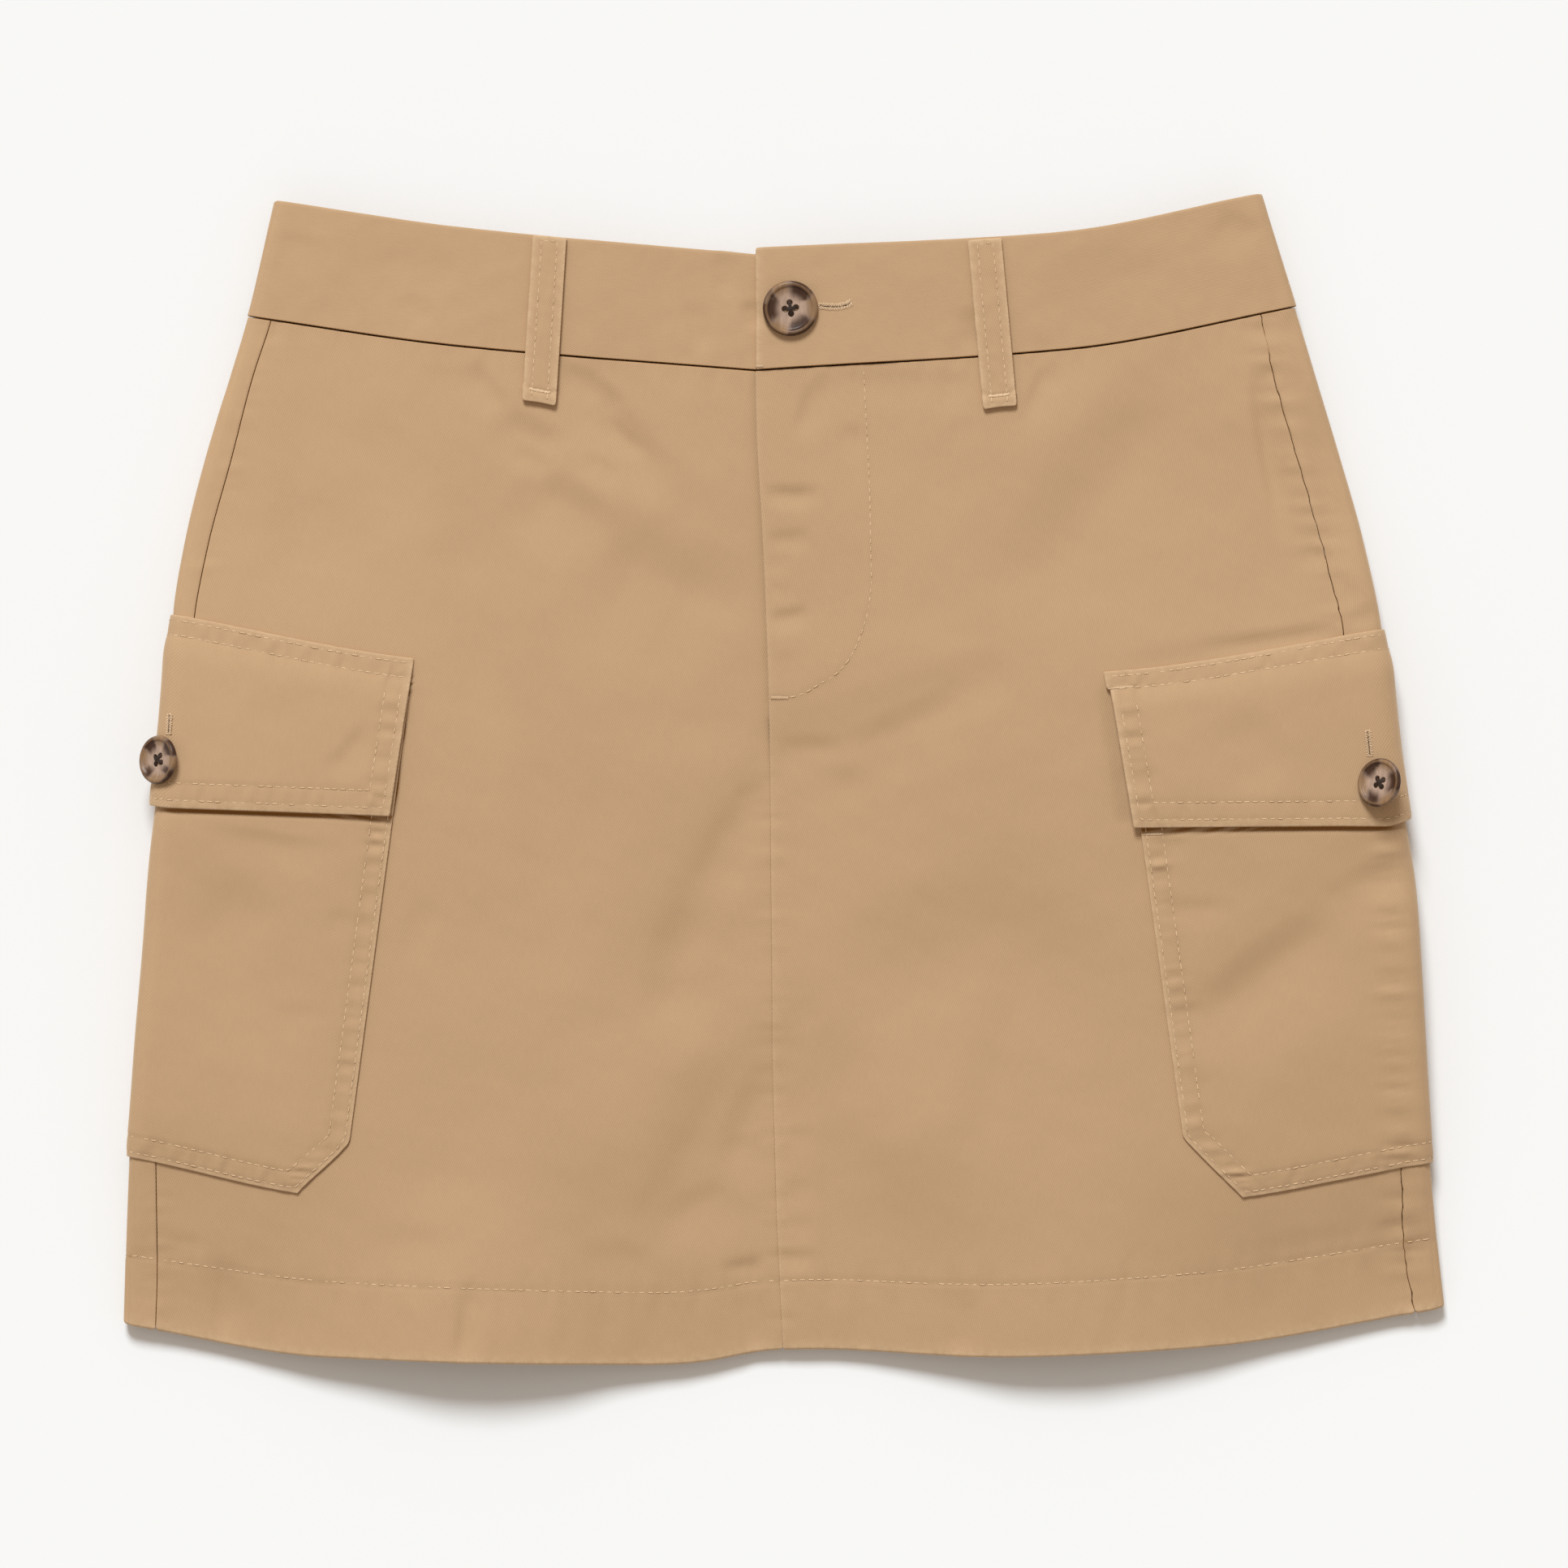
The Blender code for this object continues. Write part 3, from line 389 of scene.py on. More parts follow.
# creases in the front: from (x, y) to (x, y), bowed to the left of the way, half width of the
# steep side, and depth. Most sink beyond the line as seen from the waist; less than 0 rises before it
creases = (
    ("band, far left", -190, 203.5, -170, 200, 0, 3, 0.48),
    ("band, left", -172, 200, -110, 193, 0, 6, 0.6),
    ("band, by the left loop", -140, 182, -131, 170, 1, 2.5, 0.57),
    ("band, left of the end", -39, 178, -33, 158, 0.6, 2, 0.76),
    ("band, near the end", -25.5, 198, -24, 178, -0.5, 2.4, 0.95),
    ("band, at the end", -16.5, 178, -13, 166, 0.5, 2, 1.04),
    ("band, by the right loop", 65, 176, 67.5, 158, 0.5, 2.6, 0.95),
    ("band, right", 88, 183, 142, 198, 2, 8, 0.84),
    ("band, far right", 163, 214, 179, 205, -1, 3.6, 0.92),
    ("left of the left loop", -114, 157, -100, 138, -1.5, 2.6, 0.9),
    ("across the loop's end, high", -72, 150, -58, 139, 0.8, 2, 0.6),
    ("across the loop's end, low", -66, 137, -50, 122, -0.8, 2, 0.7),
    ("below the left loop, fine", -101, 126, -84, 117, -0.8, 2.2, 0.6),
    ("below it, finer", -74, 122, -60, 113, 0.6, 2, 0.55),
    ("under the left loop", -106, 141, -78, 126.5, -1.8, 4.2, 1.3),
    ("waist, left", -137, 154, -110, 153.5, -1.2, 3, 0.34),
    ("beside the left loop", -84, 155, -67, 149, 0, 3, 0.83),
    ("right of the left loop", -76, 154, -37, 107, 0.8, 5.4, 2),
    ("towards the fly", -70, 102, -8, 68, -2, 12, 2.4),
    ("left middle", -96, 117, -60, 93, 1.2, 6, 1.7),
    ("left waist", -163, 142, -150, 84, 0.5, 6, 0.9),
    ("left seam", -187, 160, -186, 64, 0, 9, 1.5),
    ("left hip", -133, 116, -110, 8, -2, 9, 1.9),
    ("left thigh", -110, 44, -86, -82, 2, 8.5, 2.1),
    ("left, low", -141, -47, -127, -50, 0, 5, 0.54),
    ("left, lower", -162, -168, -114, -171, 0, 5, 0.55),
    ("left of the middle, low", -80, -174, -44, -178.5, 1, 4, 0.47),
    ("left corner", -214, -172, -246, -170, 0, 2.5, 0.4),
    ("hook, top", -6.5, -2, -21, -7, -0.8, 3.2, 0.55),
    ("hook", -14, -4, -36, -44, -2.5, 5, 0.7),
    ("below the hook", -33, -38, -54, -97, -1.5, 9, 1.9),
    ("above the hem", -5, -102, -24, -152, -3, 6, 1.4),
    ("its end", -18, -149, -48, -164, -1, 5, 1.1),
    ("across it", -25, -135.5, -4, -134, 0, 2.5, 0.29),
    ("hem by the seam", -25, -181.5, -6, -178, -0.5, 2.8, 1.03),
    ("hem across the seam", -5, -176.8, 14.5, -177, 0, 2, 0.74),
    ("seam allowance, high", 0, -131, 11.5, -131.8, 0, 2.4, 0.38),
    ("seam allowance, middle", 0, -150, 10.5, -152, 0, 2.4, 0.32),
    ("seam allowance, low", 0, -164, 12, -165, 0, 2.4, 0.32),
    ("seam allowance", 13.4, -110, 14.6, -211, 0.4, 1.7, -0.5),
    ("hem, left", -119.5, -184, -123.5, -220, 0.5, 2.4, 1.6),
    ("hem, far left", -213, -178, -212, -212, 0, 2.6, 1.21),
    ("hem, middle", -22, -187, -14, -219, 1, 3, 1.21),
    ("hem, right", 60, -188, 61, -219, 1, 3, 0.97),
    ("below the fly", -4, 14, 25, 14.4, 0, 3.4, 0.9),
    ("below the fly, right", 19, 13.5, 70, 37, -1.5, 5, 1.2),
    ("below that", 0, 4, 34, 0, 0.6, 5, 0.7),
    ("right thigh", 104, -24, 16, -74, 3, 22, 3.6),
    ("right, by the seam", 5, -81, 15, -90, 0, 3, 0.4),
    ("below the waist", 11, 151, 69, 150.4, 0, 3, 0.39),
    ("by the right loop", 58, 150, 71, 149.6, 0, 2.8, 0.45),
    ("below the right loop", 61, 133.5, 73, 133, 0, 2.4, 0.3),
    ("right of the right loop", 99.5, 157, 88, 132, -1.5, 2.4, 0.98),
    ("right hip", 139, 160, 72, 62, 3, 14, 2.9),
    ("right seam, top", 184, 155.5, 173, 149.5, 1.2, 2, 0.42),
    ("beside the right seam", 173.6, 155, 185, 88, -1.6, 2.6, 2.3),
    ("right seam", 190, 146, 206, 74, 0.6, 3.4, 2.1),
    ("by the right seam", 205, 79, 217, 67, 0, 1.8, 0.7),
    ("by the right seam, low", 209.5, 60.8, 221.5, 64.4, 0, 1.6, 0.7),
    ("right seam, left of it", 193, 88, 203.5, 84, 0.3, 1.8, 0.5),
    ("behind the right seam", 184, 150, 196, 151, 0, 2.4, 0.38),
    ("above the right flap", 152, 50.5, 214, 59.6, -1, 2.4, 1.3),
    ("above its corner", 121, 43, 170, 53, 0, 4, 0.56),
    ("fly, top", 12, 152, 3.5, 127, -0.8, 2.4, 0.95),
    ("fly, high", 19, 130, 31, 131, 0, 3, 0.5),
    ("fly, upper", -9, 109, 14, 108.2, -0.6, 1.8, 1.05),
    ("fly, middle", -8, 90.8, 11, 93.2, -0.4, 1.9, 0.65),
    ("fly, below it", -8, 82.2, 4, 83.4, 0, 1.5, 0.28),
    ("fly, low", -6, 73.4, 5, 70, 0, 1.8, 0.28),
    ("fly, lower", -7, 61.6, 10, 64.2, -0.5, 1.8, 0.9),
    ("fly, end", -5, 45, 8, 47, 0.6, 2.4, 0.2),
    ("left flap", -156, 22, -172, 3, 0.6, 2.6, 0.74),
    ("left flap, soft", -205, 26, -176, 33, 1, 6, 0.42),
    ("right flap", 123, 2.6, 141, 3.6, 0, 1.9, 0.4),
    ("right flap, soft", 170, 30, 190, -2, 2, 7, 0.95),
    ("left pocket mouth", -219, -16, -164, -24.8, -1, 2.8, 0.68),
    ("left pocket, outside", -224, -24, -208, -110, -2, 9, 1.2),
    ("left pocket, high", -212, -38, -186, -53, 2, 6, 0.7),
    ("left pocket, inside", -172, -50, -159, -50.4, 0, 2.4, 0.4),
    ("left pocket, middle", -192, -84.5, -169, -86, 0, 3, 0.3),
    ("right pocket mouth", 136, -22.4, 153, -22.6, 0, 1.9, 0.44),
    ("right pocket, edge", 236, -22, 208, -38, 0.8, 4.5, 1.2),
    ("right pocket, outside", 215, -35, 199, -43, 0, 4, 0.56),
    ("right pocket, across", 210, -44, 148, -92, -3, 7.4, 2.2),
    ("right pocket, high", 139, -45.4, 168, -46.4, 0, 2.5, 0.6),
    ("right pocket, row", 140, -84.6, 157, -84.4, 0, 1.9, 0.54),
    ("right pocket, next row", 142, -93.2, 156, -92, 0, 1.9, 0.46),
    ("right pocket, low row", 145, -112.4, 161, -111, 0, 2.1, 0.33),
    ("right pocket, low", 170, -126, 240, -104, 2, 17, 1.5),
    ("right pocket, corner", 229, -131, 230.6, -160, 0.3, 1.5, 0.8),
    ("below the right pocket", 164, -175, 223, -166, 0, 4, 0.38),
    ("right corner", 217, -168.4, 240, -161.8, 0, 2.4, 0.46),
    ("right corner, low", 231, -172.4, 245, -171, 0, 1.9, 0.38),
    ("right, lit", 84, -55, 57, -170, 2, 10, -1.7),
    ("left of the hem crease, lit", -18, -84, -54, -166, -2, 9, -1.5),
    ("right of the middle, low", 10, -122, 50, -154, 0, 9, -0.8),
)
fallsFrom = (-0.342, 0.94)  # the direction that a crease's steep side turns away from


def creaseRelief(x, y):
    found = np.zeros(np.broadcast(x, y).shape)
    for _, x0, y0, x1, y1, bow, halfWidth, depth in creases:
        length = math.hypot(x1 - x0, y1 - y0)
        ux, uy = (x1 - x0) / length, (y1 - y0) / length
        along = ((x - x0) * ux + (y - y0) * uy) / length
        aside = (y - y0) * ux - (x - x0) * uy - bow * 4 * along * (1 - along)
        beyond = math.copysign(1.0, uy * fallsFrom[0] - ux * fallsFrom[1]) * math.copysign(1.0, depth) * aside
        steep = ease(beyond / (2 * halfWidth) + 0.5)
        slow = 1 - ease((beyond - halfWidth) / (4.2 * halfWidth))
        fade = ease(along * 2.4 + 0.1) * ease((1 - along) * 2.4 + 0.1)
        found -= depth * fade * steep * slow
    return found


# how much higher the hem lies, at x
hemLies = (
    (-246, -2), (-202, -3.2), (-160, 0.5), (-123, 4), (-90, 1), (-62, -1.6), (-20, 0.4), (0, 1.2),
    (26, -1.2), (56, -2.6), (90, -0.6), (116, 0.4), (150, -1.6), (192, -4), (224, -3.8), (246, -1.7),
)


def allOver(sheet):
    # what every layer shares: the creases and the unevenness of the cloth lying there
    x, y = placesOf(sheet)
    soft = 0.34 * ripples(x, y, 3, 42, 140) + 0.06 * ripples(x, y, 8, 9, 28)
    places, higher = zip(*hemLies)
    soft += smoothThrough(places, higher, x) * ease((sheet["rows"] - pocketBottom + 0.6) / 2.4)
    return (creaseRelief(x, y) + soft) * sheet["facingUp"]


def puckers(away, along, seed, height, reach, shortest=5.0, longest=18.0):
    # small gathers beside a row of stitching; pieces on both sides of a seam have the same seed
    return height * bell(away, reach) * waves(along, seed, shortest, longest)


def groove(away, depth, halfWidth=0.9):
    return -depth * bell(away, halfWidth)


# meshes
def quadMesh(name, points, quads, attributes, uvs=None):
    mesh = bpy.data.meshes.new(name)
    mesh.vertices.add(len(points))
    mesh.vertices.foreach_set("co", np.ascontiguousarray(points * mm, dtype=np.float32).ravel())
    mesh.loops.add(quads.size)
    mesh.loops.foreach_set("vertex_index", quads.ravel().astype(np.int32))
    mesh.polygons.add(len(quads))
    mesh.polygons.foreach_set("loop_start", np.arange(0, quads.size, 4, dtype=np.int32))
    mesh.update(calc_edges=True)
    if uvs is not None:
        layer = mesh.uv_layers.new(name="cloth")
        layer.data.foreach_set("uv", uvs[quads.ravel()].astype(np.float32).ravel())
    for label, values in attributes.items():
        layer = mesh.attributes.new(label, "FLOAT", "POINT")
        layer.data.foreach_set("value", values.astype(np.float32))
    mesh.shade_smooth()
    made = bpy.data.objects.new(name, mesh)
    scene.collection.objects.link(made)
    return made


def plainMesh(name, points, faces):
    mesh = bpy.data.meshes.new(name)
    mesh.from_pydata(points, [], faces)
    made = bpy.data.objects.new(name, mesh)
    scene.collection.objects.link(made)
    return made


def shell(name, sheet):
    # outside, rounded edges and inside of a cloth piece, as one closed mesh
    out = sheet["tube"] + sheet["normals"] * (sheet["lift"] + sheet["wall"] / 2 + sheet["relief"])[..., None]
    normals = gridNormals(out)
    inside = out - normals * sheet["thickness"][..., None]
    sheet["out"], sheet["outNormals"] = out, normals
    rowCount, columnCount = out.shape[:2]
    left, right, top, bottom = sheet["radii"]
    i = np.concatenate([np.zeros(columnCount), np.arange(1, rowCount), np.full(columnCount - 1, rowCount - 1),
                        np.arange(rowCount - 2, 0, -1)]).astype(int)
    j = np.concatenate([np.arange(columnCount), np.full(rowCount - 1, columnCount - 1),
                        np.arange(columnCount - 2, -1, -1), np.zeros(rowCount - 2)]).astype(int)
    radius = np.concatenate([np.full(columnCount, top), np.full(rowCount - 1, right),
                             np.full(columnCount - 1, bottom), np.full(rowCount - 2, left)])
    corners = np.cumsum([0, columnCount - 1, rowCount - 1, columnCount - 1])
    smaller = (min(top, left), min(top, right), min(bottom, right), min(bottom, left))
    radius[corners] = np.minimum(radius[corners], smaller)
    radius = np.minimum(radius, sheet["thickness"][i, j] / 2)[:, None]
    edge, down, deep = out[i, j], -normals[i, j], sheet["thickness"][i, j][:, None]
    along = np.roll(edge, -1, axis=0) - np.roll(edge, 1, axis=0)
    away = unit(np.cross(along, -down))
    turns = np.linspace(0, math.pi / 2, 4)  # three steps round each edge
    profile = [(math.sin(turn), 1 - math.cos(turn), 0) for turn in turns[1:]]
    profile += [(math.sin(turn), math.cos(turn) - 1, 1) for turn in turns[:0:-1]]
    number = np.arange(rowCount * columnCount).reshape(rowCount, columnCount)
    flat = [number[:-1, :-1], number[:-1, 1:], number[1:, 1:], number[1:, :-1]]
    outerQuads = np.stack(flat, axis=-1).reshape(-1, 4)
    points = [out.reshape(-1, 3), inside.reshape(-1, 3)]
    uvs = [sheet["uv"].reshape(-1, 2)] * 2
    loops = [number[i, j]]
    for step, (outwards, sunk, wholeWall) in enumerate(profile):
        loops.append(np.arange(len(i)) + number.size * 2 + len(i) * step)
        points.append(edge + away * radius * outwards + down * (radius * sunk + deep * wholeWall))
        uvs.append(sheet["uv"][i, j] + 0.3 * (step + 1) * np.stack([j == columnCount - 1, i == 0], axis=-1))
    loops.append(number[i, j] + number.size)
    rimQuads = [
        np.stack([np.roll(first, -1), first, second, np.roll(second, -1)], axis=-1)
        for first, second in zip(loops, loops[1:])
    ]
    sides = ("fromLeft", "fromRight", "fromTop", "fromBottom")
    # paler rubbed edges, partly a painted highlight along turned edges
    rubbed = [share * np.exp(-sheet[side] / 1.3) for side, share in zip(sides, sheet["rubbed"])]
    rubbedAndLitMask = np.max(rubbed, axis=0).ravel()
    rubbedAndLitMask = np.concatenate([rubbedAndLitMask, rubbedAndLitMask * 0, np.tile(rubbedAndLitMask[number[i, j]], len(profile))])
    # painted shade on the rims of seam and gap edges, from the step given by litRims down
    pressed = sheet["pressed"].ravel()
    left, right, top, bottom = sheet["inSeam"]
    left, right = np.broadcast_to(left, rowCount), np.broadcast_to(right, rowCount)
    deep = np.concatenate([
        np.full(columnCount, top), right[1:], np.full(columnCount - 1, bottom), left[-2:0:-1],
    ])
    rims = [deep * (step >= sheet["litRims"]) for step in range(len(profile))]
    pressed = np.concatenate([pressed, pressed * 0] + rims)
    quads = np.concatenate([outerQuads, outerQuads[:, ::-1] + number.size] + rimQuads)
    attributes = {"edge": rubbedAndLitMask, "pressed": pressed}
    return quadMesh(name, np.concatenate(points), quads, attributes, np.concatenate(uvs))


def sampled(grid, path):
    # a grid's values along a path of fractional row and column numbers
    i, j = path.T
    i0 = np.clip(np.floor(i).astype(int), 0, grid.shape[0] - 2)
    j0 = np.clip(np.floor(j).astype(int), 0, grid.shape[1] - 2)
    fi, fj = i - i0, j - j0
    if grid.ndim > 2:
        fi, fj = fi[:, None], fj[:, None]
    return mix(mix(grid[i0, j0], grid[i0, j0 + 1], fj), mix(grid[i0 + 1, j0], grid[i0 + 1, j0 + 1], fj), fi)


def passing(lines, wanted):
    # numbers of the lines, and where along each of them its values pass the wanted one
    found = []
    for line in lines:
        order = slice(None) if line[-1] > line[0] else slice(None, None, -1)
        found.append(np.interp(wanted, line[order], np.arange(len(line))[order]))
    return np.arange(len(lines), dtype=float), np.array(found)


def lineDown(sheet, away, field):
    # along the left or right edge, this far in from it
    return np.stack(passing(sheet[field], away), axis=-1)


def lineAcross(sheet, away, field):
    return np.stack(passing(sheet[field].T, away)[::-1], axis=-1)


# sewing thread
thread = {
    "radius": 0.215, "pitch": 3.05, "shown": 0.72, "sides": 6, "uneven": 0.16, "sunk": 0.34, "unlike": 0.16,
}


def threadBars(starts, ends, out, radius, arch, sink=0.12):
    # one short thread for each start and end, bulging out between them
    profile = ((0.0, -sink, 0.8), (0.14, 0.45, 0.95), (0.5, 1.0, 1.0), (0.86, 0.45, 0.95), (1.0, -sink, 0.8))
    along = unit(ends - starts)
    aside = unit(np.cross(out, along))
    sections = []
    for part, up, size in profile:
        middle = mix(starts, ends, part) + out * (arch * up + radius * 0.35)
        for k in range(thread["sides"]):
            turn = math.tau * k / thread["sides"]
            sections.append(middle + (out * math.cos(turn) + aside * math.sin(turn)) * radius * size)
    sides, count = thread["sides"], len(starts)
    points = np.stack(sections, axis=1).reshape(-1, 3)
    ring = np.arange(sides)
    one = np.concatenate([
        np.stack([ring + sides * s, np.roll(ring, -1) + sides * s,
                  np.roll(ring, -1) + sides * (s + 1), ring + sides * (s + 1)], axis=-1)
        for s in range(len(profile) - 1)
    ])
    quads = (one[None] + (np.arange(count) * sides * len(profile))[:, None, None]).reshape(-1, 4)
    return points, quads


def lengthsOf(points):
    return np.concatenate([[0], np.cumsum(np.linalg.norm(np.diff(points, axis=0), axis=1))])


def alongPath(points, out, at):
    lengths = lengthsOf(points)
    place = np.stack([np.interp(at, lengths, points[:, k]) for k in range(3)], axis=-1)
    facing = np.stack([np.interp(at, lengths, out[:, k]) for k in range(3)], axis=-1)
    return place, unit(facing)


def stitchRow(points, out, seed, pitch=None):
    # a row of running lockstitch along a path on the cloth
    pitch = pitch or thread["pitch"]
    chance = np.random.default_rng(seed)
    length = lengthsOf(points)[-1]
    count = max(1, int(length / pitch))
    starts = (np.arange(count) + 0.13) * length / count
    uneven = chance.normal(0, thread["uneven"], (2, count))
    first, firstOut = alongPath(points, out, starts + uneven[0])
    last, lastOut = alongPath(points, out, starts + pitch * thread["shown"] + uneven[1])
    facing = unit(firstOut + lastOut)
    sunk = facing * (np.maximum(-facing[:, 2:], 0) * 0.35 + chance.uniform(0, thread["sunk"], (count, 1)))
    first, last = first - sunk, last - sunk
    aside = np.cross(facing, unit(last - first)) * chance.normal(0, 0.05, (count, 1))
    return threadBars(first - aside, last + aside, facing, thread["radius"], arch=0.1)


def satinRow(points, out, halfWidth, pitch, seed, offset=0.0, radius=0.17):
    # close threads across a path, as in a bar tack or beside a buttonhole
    chance = np.random.default_rng(seed)
    length = lengthsOf(points)[-1]
    count = max(2, int(length / pitch))
    at = (np.arange(count) + 0.5) * length / count
    place, facing = alongPath(points, out, at)
    ahead, _ = alongPath(points, out, at + 0.2)
    behind, _ = alongPath(points, out, at - 0.2)
    forward = unit(ahead - behind)
    aside = unit(np.cross(facing, forward))
    middle = place + aside * offset
    wide = halfWidth * (1 + chance.normal(0, 0.05 + pitch * 0.25, (count, 1)))
    lean = forward * pitch * 0.45
    return threadBars(middle - aside * wide - lean, middle + aside * wide + lean, facing, radius, arch=0.16)


def sewn(name, rows, holes=1.0):
    # rows of thread joined as one piece, with painted shade where each thread dives into its hole and a
    # random darker tone for each stitch, flat where lain on
    points, quads, first = [], [], 0
    for somePoints, someQuads in rows:
        points.append(somePoints)
        quads.append(someQuads + first)
        first += len(somePoints)
    each = 5 * thread["sides"]  # points in one stitch
    hole = np.tile(np.repeat([holes, 0.0, 0.0, 0.0, holes], thread["sides"]), first // each)
    unlike = np.random.default_rng(first).uniform(0, thread["unlike"], first // each)
    hole = np.maximum(hole, np.repeat(unlike, each))
    points = np.concatenate(points)
    points[:, 2] = np.maximum(points[:, 2], 0.02)
    return quadMesh(name, points, np.concatenate(quads), {"hole": hole})


def pointsOf(mesh):
    points = np.empty(len(mesh.vertices) * 3, np.float32)
    mesh.vertices.foreach_get("co", points)
    return points.reshape(-1, 3)


def surfaceOf(*objects):
    # the pieces' outsides as one surface to drop things onto
    points, quads, first = [], [], 0
    for made in objects:
        mesh = made.data
        index = np.empty(len(mesh.loops), np.int32)
        mesh.loops.foreach_get("vertex_index", index)
        points.append(pointsOf(mesh))
        quads.append(index.reshape(-1, 4) + first)
        first += len(mesh.vertices)
    return BVHTree.FromPolygons(np.concatenate(points).tolist(), np.concatenate(quads).tolist())


def dropped(tree, path):
    # a path of (x, y) laid on a surface from above
    points, out = [], []
    for x, y in path:
        place, normal, _, _ = tree.ray_cast(Vector((x * mm, y * mm, 0.2)), Vector((0, 0, -1)))
        points.append(tuple(place / mm))
        out.append(tuple(normal))
    return np.array(points), np.array(out)


def curved(points, count):
    # a smooth line through a few points
    points = np.array(points, float)
    lengths = lengthsOf(points)
    at = np.linspace(0, lengths[-1], count)
    return np.stack([smoothThrough(lengths, points[:, k], at) for k in range(points.shape[1])], axis=-1)


print("tube and tools ready")

# materials
cotton = {
    # the rubbed colour and its amount make edges paler, partly as a painted highlight
    "colour": (0.504, 0.324, 0.181, 1), "rubbed": (0.70, 0.50, 0.31, 1), "ribPitch": 0.72, "ribAngle": 63.0,
    "yarnPitch": 0.41, "patches": 0.07, "ribContrast": 0.12, "wear": 0.5, "bump": 0.24, "sheen": 0.36,
    "paler": (-0.10, 0.14, 0.0),  # which way over the cloth, and how much over a metre
}


def socketed(name, inputs, outputs):
    # a node group with its sockets: inputs (name, type, value), outputs (name, type)
    group = bpy.data.node_groups.new(name, "ShaderNodeTree")
    for label, kind, value in inputs:
        made = group.interface.new_socket(name=label, in_out="INPUT", socket_type="NodeSocket" + kind)
        if value is not None:
            made.default_value = value
    for label, kind in outputs:
        group.interface.new_socket(name=label, in_out="OUTPUT", socket_type="NodeSocket" + kind)
    return group, Net(group, group.nodes.new("NodeGroupInput").outputs), group.nodes.new("NodeGroupOutput")


class Net:
    # short ways to add nodes to one node tree
    def __init__(self, tree, given=None):
        self.tree, self.given = tree, given

    def put(self, value, socket):
        if isinstance(value, bpy.types.NodeSocket):
            self.tree.links.new(value, socket)
        elif value is not None:
            socket.default_value = value

    def add(self, kind, *values, **settings):
        node = self.tree.nodes.new("ShaderNode" + kind)
        for key, value in settings.items():
            setattr(node, key, value)
        for n, value in enumerate(values):
            self.put(value, node.inputs[n])
        return node

    def math(self, operation, *values):
        return self.add("Math", *values, operation=operation).outputs[0]

    def times(self, first, second):
        return self.math("MULTIPLY", first, second)

    def plus(self, value, *others):
        for other in others:
            value = self.math("ADD", value, other)
        return value

    def varied(self, value, amount):
        # a value from 0 to 1 as that much to either side of nothing
        return self.times(self.math("SUBTRACT", value, 0.5), amount)

    def noise(self, vector, scale, detail=2.0, roughness=0.5):
        node = self.add("TexNoise", normalize=True)
        given = (("Vector", vector), ("Scale", scale), ("Detail", detail), ("Roughness", roughness))
        for label, value in given:
            self.put(value, node.inputs[label])
        return node.outputs[0]

    def stretched(self, vector, scale, turn=0.0):
        node = self.add("Mapping", vector)
        node.inputs["Rotation"].default_value = (0, 0, math.radians(turn))
        node.inputs["Scale"].default_value = scale
        return node.outputs[0]

    def ramp(self, value, low, high, start=0.0, end=1.0):
        return self.add("MapRange", value, low, high, start, end, interpolation_type="SMOOTHSTEP").outputs[0]

    def blend(self, share, first, second):
        node = self.add("Mix", data_type="RGBA")
        for label, value in ((0, share), (6, first), (7, second)):
            self.put(value, node.inputs[label])
        return node.outputs[2]

    def shaded(self, value, colour):
        # a colour made lighter or darker
        node = self.add("HueSaturation")
        self.put(value, node.inputs["Value"])
        self.put(colour, node.inputs["Color"])
        return node.outputs[0]

    def bump(self, shader, height, strength, distance):
        node = self.add("Bump")
        for label, value in (("Strength", strength), ("Distance", distance), ("Height", height)):
            self.put(value, node.inputs[label])
        self.put(node.outputs[0], shader.inputs["Normal"])


def twillGroup():
    # diagonal ribs crossed by yarns, with thick and thin places; the vector is in mm
    group, net, out = socketed(
        "twill weave",
        [("Cloth", "Vector", None), ("Rib Pitch", "Float", 0.72), ("Rib Angle", "Float", 63.0),
         ("Unevenness", "Float", 0.35)],
        [("Height", "Float"), ("Ribs", "Float"), ("Slubs", "Float")],
    )
    cloth = net.given["Cloth"]
    parts = net.add("SeparateXYZ", cloth).outputs
    turn = net.math("RADIANS", net.given["Rib Angle"])
    across = net.plus(
        net.times(parts[0], net.math("SINE", turn)), net.times(parts[1], net.math("COSINE", turn)),
    )
    wander = net.times(net.noise(cloth, 0.55, 3.0), net.given["Unevenness"])
    phase = net.plus(net.math("DIVIDE", across, net.given["Rib Pitch"]), wander)
    ribs = net.math("SINE", net.times(phase, math.tau))
    yarns = net.math("SINE", net.times(parts[1], math.tau / cotton["yarnPitch"]))
    slubs = net.noise(net.stretched(cloth, (2.4, 0.22, 1.0)), 1.0, 2.0, 0.6)
    height = net.plus(net.times(ribs, 0.34), net.times(yarns, 0.12), net.times(slubs, 0.5))
    net.put(height, out.inputs["Height"])
    net.put(net.plus(net.times(ribs, 0.5), 0.5), out.inputs["Ribs"])
    net.put(slubs, out.inputs["Slubs"])
    return group


